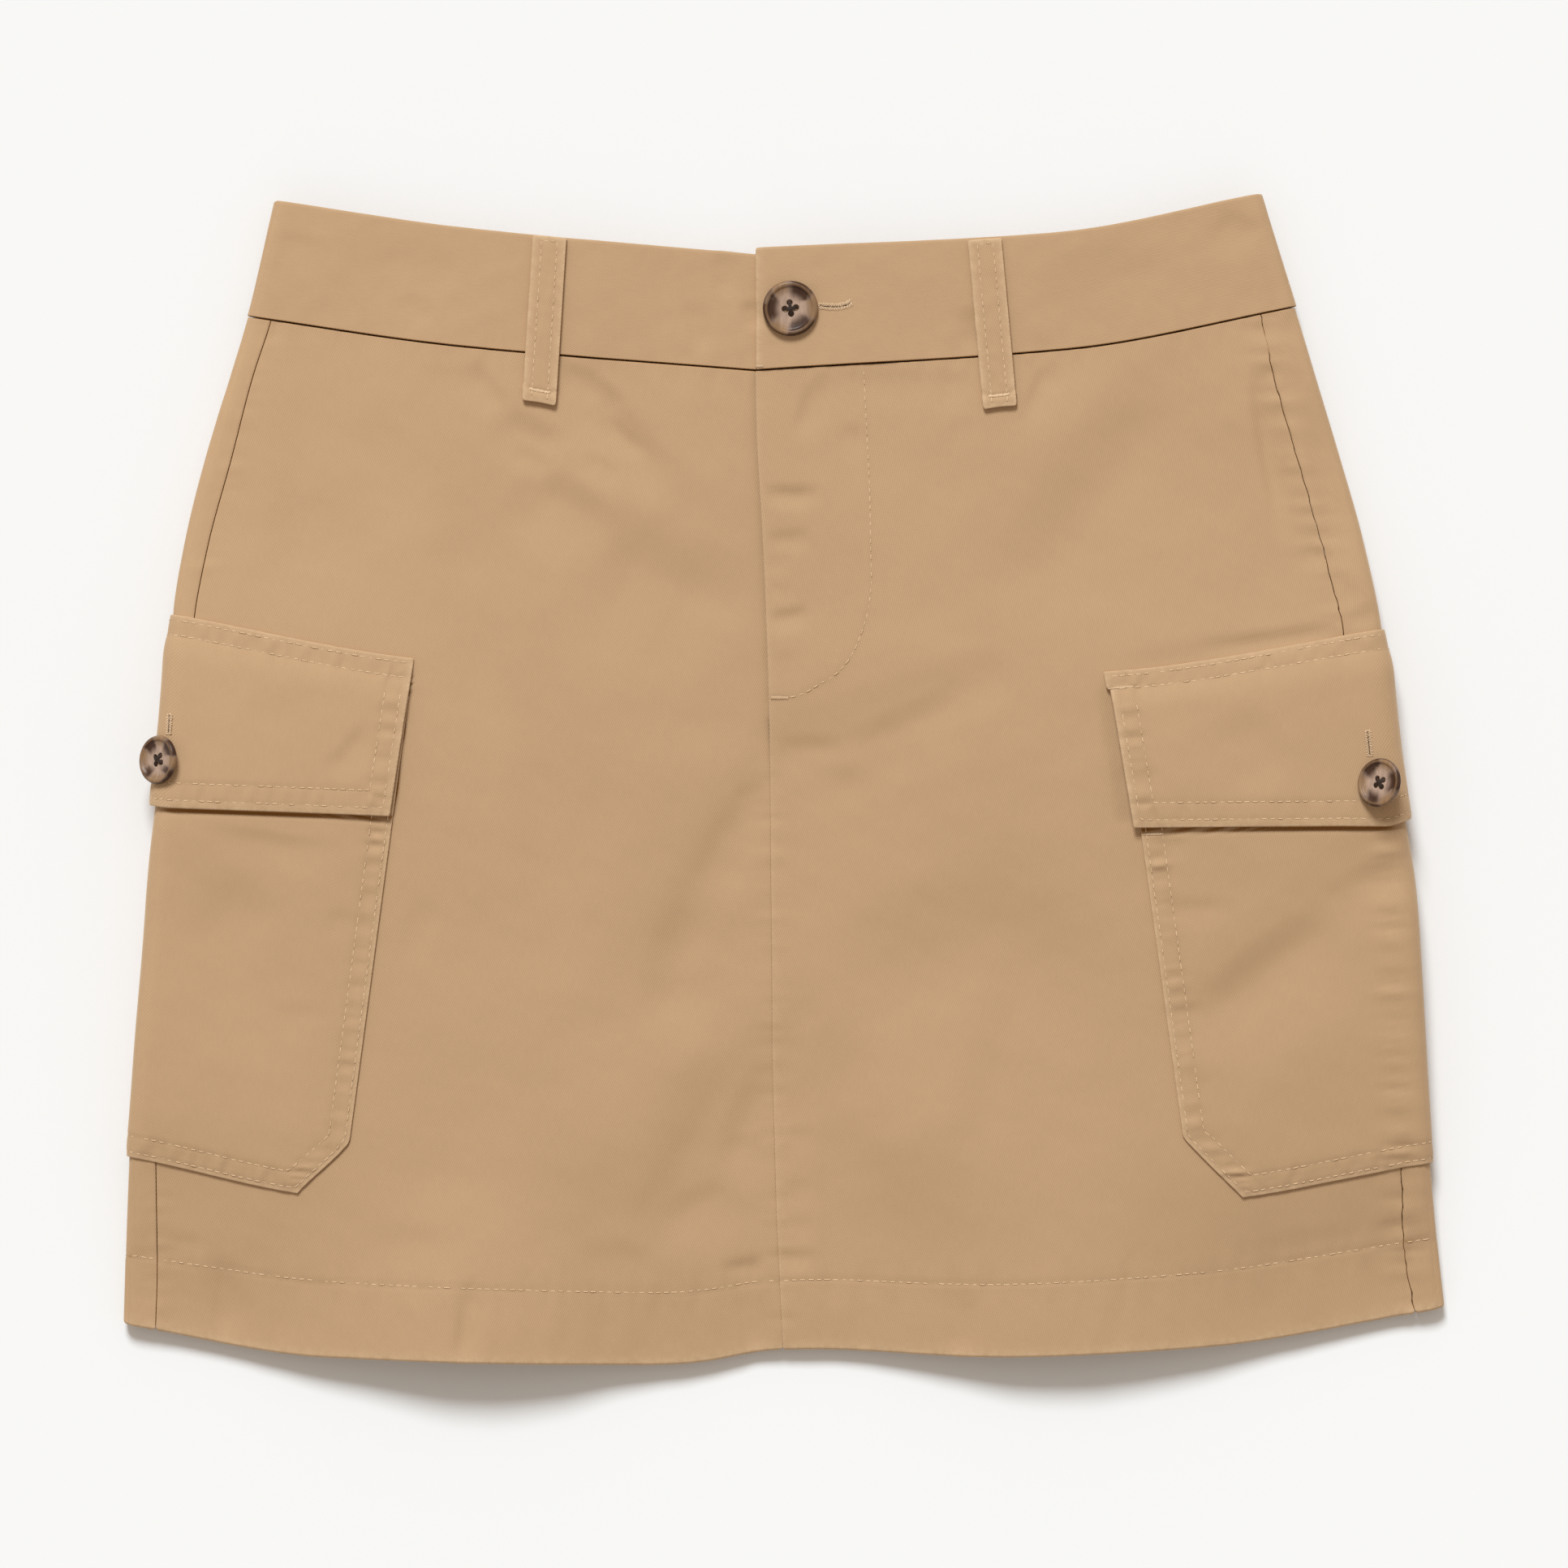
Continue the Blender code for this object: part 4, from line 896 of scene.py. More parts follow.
def dyeAndShadeGroup():
    # colour of garment-dyed cotton: soft patches, paler where edges have rubbed and as a painted highlight
    # along turned edges, darker where pressed and as painted shade in seams, gaps and beside the flaps
    group, net, out = socketed(
        "dyed cotton",
        [("Cloth", "Vector", None), ("Colour", "Color", (0.5, 0.33, 0.18, 1)),
         ("Rubbed", "Color", (0.7, 0.5, 0.3, 1)), ("Ribs", "Float", 0.5), ("Slubs", "Float", 0.5),
         ("Edge", "Float", 0.0), ("Pressed", "Float", 0.0),
         ("Patches", "Float", 0.06), ("Rib Contrast", "Float", 0.05), ("Wear", "Float", 0.25),
         ("Place", "Vector", None), ("In Seams", "Color", (0.26, 0.105, 0.016, 1))],
        [("Colour", "Color"), ("Roughness", "Float")],
    )
    given = net.given
    patches = net.noise(given["Cloth"], 0.018, 3.0, 0.55)
    fine = net.noise(given["Cloth"], 0.35, 2.0, 0.6)
    value = net.plus(
        net.varied(patches, given["Patches"]), net.varied(fine, 0.05),
        net.varied(given["Ribs"], given["Rib Contrast"]), net.varied(given["Slubs"], 0.1),
    )
    # darker where pressed along stitching, and where painted shade is given
    value = net.math("SUBTRACT", value, net.times(net.math("MINIMUM", given["Pressed"], 1.5), 0.05))
    # paler towards the top left, darker towards the bottom right
    paleTowardsTopLeft = net.add("VectorMath", given["Place"], cotton["paler"], operation="DOT_PRODUCT").outputs["Value"]
    value = net.plus(value, net.math("SUBTRACT", paleTowardsTopLeft, 0.025))
    shade = net.shaded(net.plus(value, 1.0), given["Colour"])
    # paler rubbed edges, partly a painted highlight along turned edges
    rubAndHighlight = net.times(net.times(given["Edge"], given["Wear"]), net.ramp(fine, 0.3, 0.7, 0.4, 1.0))
    wornAndLit = net.blend(rubAndHighlight, shade, given["Rubbed"])
    # painted shade: a dark brown blended in where the mask is high, in seams, gaps and under the flaps' edges
    net.put(net.blend(net.ramp(given["Pressed"], 2.0, 9.0), wornAndLit, given["In Seams"]), out.inputs["Colour"])
    net.put(net.plus(0.86, net.times(value, -0.4)), out.inputs["Roughness"])
    return group


twill, dyeAndShade = twillGroup(), dyeAndShadeGroup()


def placed(net, group, **values):
    node = net.tree.nodes.new("ShaderNodeGroup")
    node.node_tree = group
    for label, value in values.items():
        net.put(value, node.inputs[label.replace("_", " ")])
    return node


def newMaterial(name):
    made = bpy.data.materials.new(name)
    made.use_nodes = True
    return made, Net(made.node_tree), made.node_tree.nodes["Principled BSDF"]


def cottonMaterial(name, grainTurn):
    # grainTurn: how far the piece's grain is turned from the panels'
    made, net, shader = newMaterial(name)
    cloth = net.stretched(net.add("UVMap", uv_map="cloth").outputs[0], (1, 1, 1), grainTurn)
    # edge: paler rubbed edges, partly a painted highlight along turned edges
    edge = net.add("Attribute", attribute_name="edge").outputs["Fac"]
    # the second attribute: darker where pressed along stitching, and painted shade
    pressed = net.add("Attribute", attribute_name="pressed").outputs["Fac"]
    weave = placed(net, twill, Cloth=cloth, Rib_Pitch=cotton["ribPitch"], Rib_Angle=cotton["ribAngle"])
    colour = placed(
        net, dyeAndShade, Cloth=cloth, Colour=cotton["colour"], Rubbed=cotton["rubbed"], Ribs=weave.outputs["Ribs"],
        Slubs=weave.outputs["Slubs"], Edge=edge, Pressed=pressed, Patches=cotton["patches"],
        Rib_Contrast=cotton["ribContrast"], Wear=cotton["wear"], Place=net.add("TexCoord").outputs["Object"],
    )
    net.put(colour.outputs["Colour"], shader.inputs["Base Color"])
    net.put(colour.outputs["Roughness"], shader.inputs["Roughness"])
    net.bump(shader, weave.outputs["Height"], cotton["bump"], 0.0003)
    shader.inputs["Specular IOR Level"].default_value = 0.16
    shader.inputs["Sheen Weight"].default_value = cotton["sheen"]
    shader.inputs["Sheen Roughness"].default_value = 0.42
    shader.inputs["Sheen Tint"].default_value = (1.0, 0.84, 0.64, 1)
    return made


cottons = {
    cloth: cottonMaterial("khaki cotton twill, " + cloth, 90.0 if cloth == "waistband" else 0.0)
    for cloth in ("panels", "waistband", "pockets", "flaps", "belt loops")
}
pieces = {}


def addPiece(made, material, node=None, slot=None):
    made.data.materials.clear()
    made.data.materials.append(material)
    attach(made, "root")
    slot or node
    if node:
        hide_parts(node)
    pieces[made.name] = made


def addCloth(name, cloth):
    addPiece(shell(name + "_cloth", sheets[name]), cottons[cloth], name)


print("materials ready")

# the two fronts and the back
panel = {
    "seamLower": 0.028, "step": 1.7, "fineStep": 0.6, "backStep": 2.6, "edgeRadius": 0.18, "hemRadius": 1.0,
    # gathers: seed, height and reach, and for the wide ones the shortest and longest
    "waistPucker": (31, 0.24, 5.0), "hemPucker": (32, 0.42, 7.0), "widePucker": (33, 0.42, 12.0, 12.0, 60.0),
    "leftPucker": (41, 0.2, 5.0), "centrePucker": (42, 0.15, 6.0), "rightPucker": (43, 0.34, 7.0),
    "hemGroove": 0.2, "seamRidge": 0.3, "flyRaised": 0.3, "waistGap": 0.2, "closer": -0.09,
    "middleCloser": -0.15, "backRowStep": 2.2, "centreDip": 0.6, "dipReach": 3.2, "seamShut": 0.22,
    "seamWander": 0.32, "stripSunk": 7.0, "hemSunk": 3.2, "rightSeamDark": (8.0, 3.0, 97.0, 17.0),
    "shutAt": 0.5, "shutReach": 0.25,
    # the shade under the left flap's free edge: from and to, and how wide it is there
    "flapShade": ((-138.9, 44.0), (-147.3, -15.0), (0.45, 1.9)), "shadeDepth": 0.9, "shadeDark": 12.0,
    # beside the right flap's: from and to, and its reach
    "besideFlap": ((119.4, 36.0), (127.0, -17.0), 2.8), "besideDepth": 0.7, "besideDark": 1.5,
}
# where the fly's stitching runs, from the waist seam down
flyStitch = ((29.7, 152.6), (30.9, 128.6), (32, 105.3), (32.4, 82), (32.6, 75), (31.7, 64.7),
             (28.8, 54.1), (24.8, 45.3), (18.5, 38.3), (14.2, 35.9), (6.4, 31.4), (1.8, 30.2))


def hemThickness(sheet):
    return mix(cut["panelWall"], cut["hemWall"], ease((sheet["rows"] - hemStitch) / 0.05))


def underFlyEnds(rows):
    # the under front runs on below the fly, and stops where that ends
    return cut["flyUnderlap"] * ease((rows - (pocketMouth - 0.62)) / 0.6) + panel["middleCloser"]


def panelSheet(stretchesOf, insets, near, lap=cut["panelWall"] + cut["layGap"], step=panel["step"],
               rowStep=panel["step"]):
    # insets: left and right. near: where it's finely divided, from its left or (less than 0) its right edge
    grid = tubeGrid(waistSeam + panel["seamLower"], hem, stretchesOf, lap)
    width, length = sizeOf(grid, 120)
    near = [place if place >= 0 else width + place for place in near]
    across = spread(width, step, panel["fineStep"], near, 1.5)
    hemPlace = np.interp(hemStitch, grid[:, 40, 3], lengthsAlong(grid, 0)[:, 40])
    down = spread(length, rowStep, panel["fineStep"], (0.0, hemPlace), 1.5)
    radius = panel["edgeRadius"]
    radii = (radius, radius, radius, panel["hemRadius"])
    insets = (*insets, panel["waistGap"], 0)
    sheet = madeSheet(grid, cut["panelWall"], across, down, insets, radii, 0.0, hemThickness)
    sheet["fromStitch"] = fromStitch = awayFromRow(sheet, hemStitch)
    x, _ = placesOf(sheet)
    up = sheet["facingUp"]
    sheet["relief"] += allOver(sheet)
    sheet["relief"] += puckers(sheet["fromTop"], x, *panel["waistPucker"]) * np.maximum(up, 0.3)
    sheet["relief"] += puckers(fromStitch, x, *panel["hemPucker"]) * up * 0.6
    sheet["relief"] += puckers(fromStitch - 14, x, *panel["widePucker"]) * up * 0.6
    sheet["relief"] += groove(fromStitch, panel["hemGroove"]) + 0.12 * ease((fromStitch + 0.4) / 0.8)
    sheet["pressed"] += np.exp(-np.abs(fromStitch) / 1.6)
    uneven = ease(0.4 + waves(x, 97, 5, 60)) * up
    # painted shade in uneven dashes along the hem stitching
    sheet["pressed"] += panel["hemSunk"] * uneven * bell(fromStitch, 0.5)
    return sheet


def nextToLine(x, y, start, end, fade):
    # how far right of a line it is, the share of the way down the line, and how it comes and goes
    part = (y - start[1]) / (end[1] - start[1])
    return x - mix(start[0], end[0], part), part, ease(part * fade) * ease((1 - part) * 12 + 0.5)


def underFlapEdge(x, y):
    start, end, wide = panel["flapShade"]
    away, part, shown = nextToLine(x, y, start, end, 12)
    halfWidth = mix(*wide, np.clip(part, 0, 1)) / 2
    return np.exp(-(((away - halfWidth) / halfWidth) ** 4)) * shown


def besideFlap(x, y):
    # the soft shade left of the right flap's raised edge
    start, end, reach = panel["besideFlap"]
    away, _, shown = nextToLine(x, y, start, end, 6)
    return bell(away, reach) * shown


def rightSeamDark(y):
    # painted shade in the right side seam, less of it below the hip, where the seam opens less
    most, least, height, reach = panel["rightSeamDark"]
    return most - (most - least) * bell(y - height, reach)


def rightSeamEdge(way):
    # the right side seam wanders a little, and is shut tight at the hip
    def edge(rows):
        shut = panel["seamShut"] * bell(rows - waistSeam - panel["shutAt"], panel["shutReach"])
        return panel["closer"] - shut + way * panel["seamWander"] * waves(rows * 100, 44, 14, 70)
    return edge


def inCloth(x, y, points):
    # share inside the fly's facing, which ends at its stitching
    line = np.array(points)
    edge = np.interp(-y, -line[:, 1], line[:, 0])
    return ease((edge - x) / 1.6 + 0.5) * ease((y - line[-1, 1]) / 2.0 + 0.5)


def buildUnderFront():
    around = roundTube(under, ("underlap", cut["flyUnderlap"], 0.0, 20), ("front", 0.0, 1.0, 200))
    sheet = panelSheet(around, (underFlyEnds, panel["closer"]), (cut["flyUnderlap"], -0.5))
    x, y = placesOf(sheet)
    up, relief = sheet["facingUp"], sheet["relief"]
    fromCentre = ringAt(sheet["rows"])["centreX"] - x
    relief += puckers(sheet["fromRight"], y, *panel["leftPucker"]) * up
    below = ease((sheet["rows"] - pocketMouth) / 1.5)
    relief += puckers(fromCentre, y, *panel["centrePucker"]) * up * below
    dip = np.exp(-np.abs(fromCentre) / panel["dipReach"]) * up
    relief -= panel["centreDip"] * dip * mix(1.0, 0.5, below)
    # painted shadow under the left flap's free edge, with a shallow trough
    shade = underFlapEdge(x, y) * up
    sheet["pressed"] += panel["shadeDark"] * shade
    relief -= panel["shadeDepth"] * shade
    sheet["rubbed"], sheet["inSeam"] = (0.0, 0.0, 0.0, 0.8), (6.0 - 5.4 * below[:, 0], 9.0, 10.0, 0.0)
    return sheet


def buildOverFront():
    insets = (rightSeamEdge(1), panel["middleCloser"])
    sheet = panelSheet(roundTube(over, ("front", 0.0, 1.0, 200)), insets, (0.5, -0.5, -41.0))
    x, y = placesOf(sheet)
    up, relief = sheet["facingUp"], sheet["relief"]
    relief += puckers(sheet["fromLeft"], y, *panel["rightPucker"]) * up
    below = ease((sheet["rows"] - pocketMouth) / 1.5)
    relief += puckers(sheet["fromRight"], y, *panel["centrePucker"]) * up * below
    relief += panel["flyRaised"] * inCloth(x, y, flyStitch) * (1 - below)
    # painted shade beside the right flap's raised edge, with a shallow trough
    relief -= panel["besideDepth"] * besideFlap(x, y) * up
    sheet["pressed"] += panel["besideDark"] * besideFlap(x, y) * up
    # painted shade on the centre edge, mostly beside the fly
    middleShade = 3.0 - 2.6 * below[:, 0]
    sheet["rubbed"], sheet["inSeam"] = (0.0, 0.35, 0.0, 0.8), (rightSeamDark(y[:, 0]), middleShade, 10.0, 0.0)
    return sheet


def buildBack():
    around = roundTube(under, *backRound) + roundTube(over, *backRound)
    insets = (panel["closer"], rightSeamEdge(-1))
    sheet = panelSheet(around, insets, (0.5, 12.0, -12.0, -0.5), 0.0, panel["backStep"], panel["backRowStep"])
    x, y = placesOf(sheet)
    up, relief = sheet["facingUp"], sheet["relief"]
    relief += puckers(sheet["fromLeft"], y, *panel["leftPucker"]) * up
    relief += puckers(sheet["fromRight"], y, *panel["rightPucker"]) * up
    aboveHem = 1 - ease((sheet["fromStitch"] + 4.0) / 5.0)
    for side in ("fromLeft", "fromRight"):
        ridge = ease((sheet[side] + 0.3) / 0.8) * (1 - ease((sheet[side] - 8.0) / 3.0))
        relief += panel["seamRidge"] * ridge * aboveHem
    # painted shade along the back's hem stitching
    sheet["pressed"] += panel["stripSunk"] * bell(sheet["fromStitch"], 0.5) * up
    behind = np.clip(-sheet["normals"][..., 2], 0, 1)
    relief -= 0.16 * (1 + ripples(x, y, 51, 20, 110)) * behind
    sheet["relief"] = np.where(behind > 0.3, np.minimum(relief, -0.03), relief)
    sheet["rubbed"], sheet["inSeam"] = (0.0, 0.0, 0.0, 0.8), (9.0, rightSeamDark(y[:, -1]), 10.0, 0.0)
    return sheet


sheets = {
    "front_panel_under": buildUnderFront(), "front_panel_over": buildOverFront(), "back_panel": buildBack(),
}
for name in sheets:
    addCloth(name, "panels")
print("fronts and back made")

# the waistband
band = {
    "step": 2.2, "rowStep": 1.3, "topRadius": 0.8, "seamRadius": 0.3, "endRadius": 0.7,
    "seamPucker": (31, 0.2, 4.0), "endLower": 0.25,
}


def buildBand():
    front = ("front", 0, 1, 140)
    around = roundTube(under, ("underlap", cut["bandUnderlap"], 0.0, 20), front, *backRound)
    around += roundTube(over, front, *backRound)
    grid = tubeGrid(bandTop, waistSeam + panel["seamLower"], around, cut["bandWall"] + cut["layGap"], 60)
    width, length = sizeOf(grid, 30)
    across = spread(width, band["step"], 0.6, (0, width - 0.5), 2.0)
    down = spread(length, band["rowStep"], 0.5, (0.5, length - 0.5), 1.0)
    radii = (band["endRadius"], band["endRadius"], band["topRadius"], band["seamRadius"])
    sheet = madeSheet(grid, cut["bandWall"], across, down, (0, 0, 0, 0), radii)
    x, y = placesOf(sheet)
    up = sheet["facingUp"]
    sheet["relief"] += allOver(sheet) * 0.9 + 0.05 * ripples(x, y, 62, 7, 20) * up
    sheet["relief"] += puckers(sheet["fromBottom"], x, *band["seamPucker"]) * up
    sheet["relief"] -= band["endLower"] * (1 - ease(sheet["fromRight"] / 3.0)) * up
    behind = np.clip(-sheet["normals"][..., 2], 0, 1)
    sheet["relief"] -= 0.12 * (1 + ripples(x, y, 63, 20, 90)) * behind
    sheet["rubbed"], sheet["inSeam"] = (0.3, 0.8, 0.1, 0.0), (0.0, 0.0, 2.6, 10.0)
    return sheet


sheets["waistband"] = buildBand()
addCloth("waistband", "waistband")
print("waistband made")

# the pockets and their flaps
pocket = {
    "step": 1.7, "fineStep": 0.6, "radius": 0.35, "puff": 0.8, "rowsIn": (1.6, 7.6), "groove": 0.14,
    "pucker": {under: 0.4, over: 0.52}, "puckerFrom": {under: 4.5, over: 3.4}, "edgeSunk": 0.25,
    "edgeWide": 2.2, "flapGap": 0.75, "flapGapAt": 0.5, "flapGapWidth": 1.0, "flapGapDark": 9.0,
    "pressedWide": 1.2,
    "overSeam": (230.0, 224.0), "seamPucker": (92, 0.42, 6.0, 5.0, 22.0),
}
flap = {
    "step": 1.7, "fineStep": 0.6, "radius": 0.6, "topRows": (1.5, 7.0), "sideRows": (2.4, 8.2),
    "bottomRows": (2.4, 8.8), "groove": 0.14, "pucker": 0.36, "standOff": 0.9,
    "lower": {under: 0.03, over: 0.05}, "stepIn": {under: 0.0, over: 1.3},
    "rolled": 0.12, "topThinner": 0.66, "topPressed": 1.2,
    "topPucker": {under: 0.3, over: 0.52}, "turnedUp": {under: (-229.0, 1.6), over: (224.0, 3.0)},
    "beforeLine": 6.0, "edgeSunk": 0.25, "edgeWide": 1.6, "pressedWide": 1.2,
}


def clipped(side):
    return lambda rows: cut["clipWidth"][side] * np.maximum(0, rows - clippedCorner)


def pocketPuff(sheet):
    inside = np.minimum(sheet["fromLeft"], sheet["fromRight"]) / 22
    belowMouth = ease((sheet["rows"] - pocketMouth) / 1.5)
    inside = ease(inside) * belowMouth * ease((pocketBottom - sheet["rows"]) / 1.3)
    return pocket["puff"] * inside * (1 - ease(sheet["turn"] * 2))


def pocketLift(sheet):
    return cut["panelWall"] / 2 + cut["layGap"] + cut["pocketWall"] / 2


def flapLift(sheet):
    overPocket = ease(sheet["rows"] - flapTop) * (cut["pocketWall"] + cut["layGap"])
    free = ease((sheet["rows"] - pocketMouth) / (flapBottom - pocketMouth))
    inFront = 1 - ease(sheet["turn"])
    standsOff = flap["standOff"] * free * inFront
    return cut["panelWall"] / 2 + cut["layGap"] + cut["flapWall"] / 2 + overPocket + standsOff


def uPath(sheet, away, topFrom):
    # down one side, along the bottom and up the other, this far in from the edges
    left, bottom, right = away
    down = lineDown(sheet, left, "fromLeft")
    along = lineAcross(sheet, bottom, "fromBottom")
    up = lineDown(sheet, right, "fromRight")[::-1]
    sides = [
        path[(sampled(sheet["fromBottom"], path) > bottom) & (sampled(sheet["fromTop"], path) >= topFrom)]
        for path in (down, up)
    ]
    along = along[(sampled(sheet["fromLeft"], along) > left) & (sampled(sheet["fromRight"], along) > right)]
    return np.concatenate([sides[0], along, sides[1]])


def nearRows(sheet, away):
    # distance from a row of stitching that runs this far in from the free edges
    sides = [np.abs(sheet["fromLeft"] - away[0]), np.abs(sheet["fromRight"] - away[2])]
    return np.minimum(np.minimum(*sides), np.abs(sheet["fromBottom"] - away[1]))


def alongEdges(sheet, seed, shortest, longest):
    # waves that run along whichever edge is the nearest
    sides = waves(sheet["fromTop"], seed, shortest, longest)
    sides = sides + 0.35 * waves(sheet["uv"][..., 0], seed + 9, 6, 20)
    ends = waves(sheet["uv"][..., 0], seed + 1, shortest, longest)
    beside = np.minimum(sheet["fromLeft"], sheet["fromRight"])
    end = np.minimum(sheet["fromTop"], sheet["fromBottom"])
    return mix(ends, sides, ease((end - beside) / 4 + 0.5))


def buildPocket(side, name):
    grid = tubeGrid(pocketMouth, pocketBottom, roundTube(side, *pocketRound), 0.0, 200)
    width, length = sizeOf(grid, 60)
    across = spread(width, pocket["step"], pocket["fineStep"], nearEnds(width, pocket["rowsIn"]), 0.8)
    flapPlace = np.interp(flapBottom, grid[:, 60, 3], lengthsAlong(grid, 0)[:, 60])
    rowPlaces = [length - place for place in (0.4, *pocket["rowsIn"])] + [flapPlace + 2.0]
    down = spread(length, pocket["step"], pocket["fineStep"], rowPlaces, 2.5)
    insets = (clipped(side), clipped(side), 0, 0)
    sheet = madeSheet(grid, cut["pocketWall"], across, down, insets, (pocket["radius"],) * 4, pocketLift)
    x, y = placesOf(sheet)
    sheet["relief"] += allOver(sheet) + pocketPuff(sheet)
    nearest = np.min([sheet["fromLeft"], sheet["fromRight"], sheet["fromBottom"]], axis=0)
    front = 1 - ease(sheet["turn"] * 2)
    for row in pocket["rowsIn"]:
        away = nearRows(sheet, (row,) * 3)
        sheet["relief"] += groove(away, pocket["groove"])
        sheet["pressed"] += np.exp(-away / pocket["pressedWide"])
    gathered = alongEdges(sheet, 71 + side, pocket["puckerFrom"][side], 12) * front
    sheet["relief"] += pocket["pucker"][side] * bell(nearest - np.mean(pocket["rowsIn"]), 3.2) * gathered
    sheet["relief"] -= pocket["edgeSunk"] * (1 - ease(nearest / pocket["edgeWide"]))
    if side == over:
        # the side seam underneath
        underneath = smoothThrough((-160.0, -20.0), pocket["overSeam"], y)
        sheet["relief"] += puckers(x - underneath, y, *pocket["seamPucker"]) * front
    # a sunk groove below the flap's edge, with a painted shadow in it
    belowFlap = awayFromRow(sheet, flapBottom + flap["lower"][side]) - pocket["flapGapAt"]
    gap = bell(belowFlap, pocket["flapGapWidth"]) * (1 - ease(sheet["turn"] * 3))
    sheet["relief"] -= pocket["flapGap"] * gap
    sheet["thickness"] = sheet["thickness"] - pocket["flapGap"] * gap
    sheet["pressed"] += pocket["flapGapDark"] * gap
    sheet["rubbed"], sheet["litRims"] = (0.8, 0.8, 0.0, 0.8), 1
    sheet["inSeam"] = (10.0 if side == under else 0.0, 0.0, 0.0, 5.0)
    sheets["pocket_" + name] = sheet
    addCloth("pocket_" + name, "pockets")


def flapRow(n):
    # how far in from the left, bottom and right edges one of its rows of stitching is
    return flap["sideRows"][n], flap["bottomRows"][n], flap["sideRows"][n]


def buildFlap(side, name):
    around = roundTube(side, ("beforeLine", flap["beforeLine"], 0.0, 8), *pocketRound)
    grid = tubeGrid(flapTop, flapBottom + flap["lower"][side], around, 0.0, 120)
    width, length = sizeOf(grid, 60)
    across = spread(width, flap["step"], flap["fineStep"], nearEnds(width, flap["sideRows"]), 0.8)
    rowPlaces = nearEnds(length, flap["topRows"], flap["bottomRows"])
    down = spread(length, flap["step"], flap["fineStep"], rowPlaces, 0.8)
    first, last = cut["flapEdgeIn"][side]

    def frontEdge(rows):
        # the sewn-down top strip reaches further than the free part below it
        edge = flap["beforeLine"] + mix(first, last, (rows - flapTop) / (flapBottom - flapTop))
        return edge + flap["stepIn"][side] * (ease((rows - flapTop - 0.4) / 0.06) - 0.5)

    def cutUp(x):
        # the free edge turns up where it goes round the side
        start, higher = flap["turnedUp"][side]
        return higher * ease((x - start) * np.sign(start) / 10.0)

    insets = (frontEdge, 0, 0, 0) if side == under else (0, frontEdge, 0, 0)
    radii = (flap["radius"],) * 4
    sheet = madeSheet(grid, cut["flapWall"], across, down, insets, radii, flapLift, None, cutUp)
    x, _ = placesOf(sheet)
    sheet["relief"] += allOver(sheet)
    front = 1 - ease(sheet["turn"] * 2)
    for n in range(2):
        away = nearRows(sheet, flapRow(n))
        fromRow = np.abs(sheet["fromTop"] - flap["topRows"][n])
        below = ease((sheet["fromTop"] - flap["topRows"][1]) / 2.0 - 0.2)
        sheet["relief"] += groove(away, flap["groove"]) * below + groove(fromRow, flap["groove"])
        wide = flap["pressedWide"]
        sheet["pressed"] += np.exp(-away / wide) * below + np.exp(-fromRow / wide)
    nearest = np.min([sheet[edge] for edge in ("fromLeft", "fromRight", "fromBottom", "fromTop")], axis=0)
    sheet["relief"] += flap["pucker"] * bell(nearest - 5, 3.6) * alongEdges(sheet, 75 + side, 4.5, 12) * front
    sheet["relief"] -= flap["edgeSunk"] * (1 - ease(nearest / flap["edgeWide"]))
    inStrip = bell(sheet["fromTop"] - 4.0, 2.6)
    sheet["relief"] += flap["topPucker"][side] * inStrip * waves(x, 78 + side, 5, 14) * front
    sheet["pressed"] += flap["topPressed"] * inStrip
    rolled = bell(sheet["fromTop"] - flap["topRows"][1] - 1.8, 1.1)
    thinner = flap["topThinner"] * (1 - ease((sheet["fromTop"] - 4.5) / 13.0))
    sheet["relief"] -= thinner
    sheet["thickness"] = sheet["thickness"] - thinner
    sheet["relief"] += flap["rolled"] * rolled * front * (0.5 + 0.5 * waves(x, 77, 12, 60))
    sheet["rubbed"], sheet["litRims"] = (1.0, 1.0, 0.5, 1.0), 2
    sheet["inSeam"] = (9.0 if side == under else 0.0, 0.0, 0.0, 5.0)
    sheets["flap_" + name] = sheet
    addCloth("flap_" + name, "flaps")


for side, name in ((under, "under"), (over, "over")):
    buildPocket(side, name)
    buildFlap(side, name)
print("pockets and flaps made")

# belt loops
loop = {
    "width": 13.0, "length": 61.5, "belowTop": 0.5, "bow": 0.35, "corner": 1.2, "turned": 7.0,
    "turnedWall": 2.0, "rowsIn": 3.45, "step": 0.75, "radius": 0.5, "groove": 0.16, "tackPlace": 4.4,
    "backThinner": 0.7, "backHeight": 0.66, "points": 90, "stitchPitch": 2.9, "endPitch": 2.4,
    # name, x at its top and its end, how much longer it lies, and the slant of its ends
    "front": (("belt_loop_front_under", -87.3, -91.3, 1.0, (-0.08, -0.16)),
              ("belt_loop_front_over", 74.8, 80.6, 1.7, (0.08, 0.1))),
    "back": (("belt_loop_back_under", -96.0), ("belt_loop_back_centre", -6.0), ("belt_loop_back_over", 84.0)),
}


def rowAt(x, y):
    # the row of the tube that passes through a place, seen from above
    low, high = np.full(np.shape(x), float(bandTop)), np.full(np.shape(x), float(hem))
    for _ in range(32):
        middle = (low + high) / 2
        above = ringY(ringAt(middle), x) > y
        low, high = np.where(above, middle, low), np.where(above, high, middle)
    return (low + high) / 2


def frontPlace(x, y):
    # points on the front cloth's middle surface, and the direction out of it
    def lifted(atX, atY):
        return np.stack([atX, atY, frontHeight(ringAt(rowAt(atX, atY)), atX, atY)], axis=-1)
    across = lifted(x + 2.0, y) - lifted(x - 2.0, y)
    upwards = lifted(x, y + 2.0) - lifted(x, y - 2.0)
    return lifted(x, y), unit(np.cross(across, upwards))


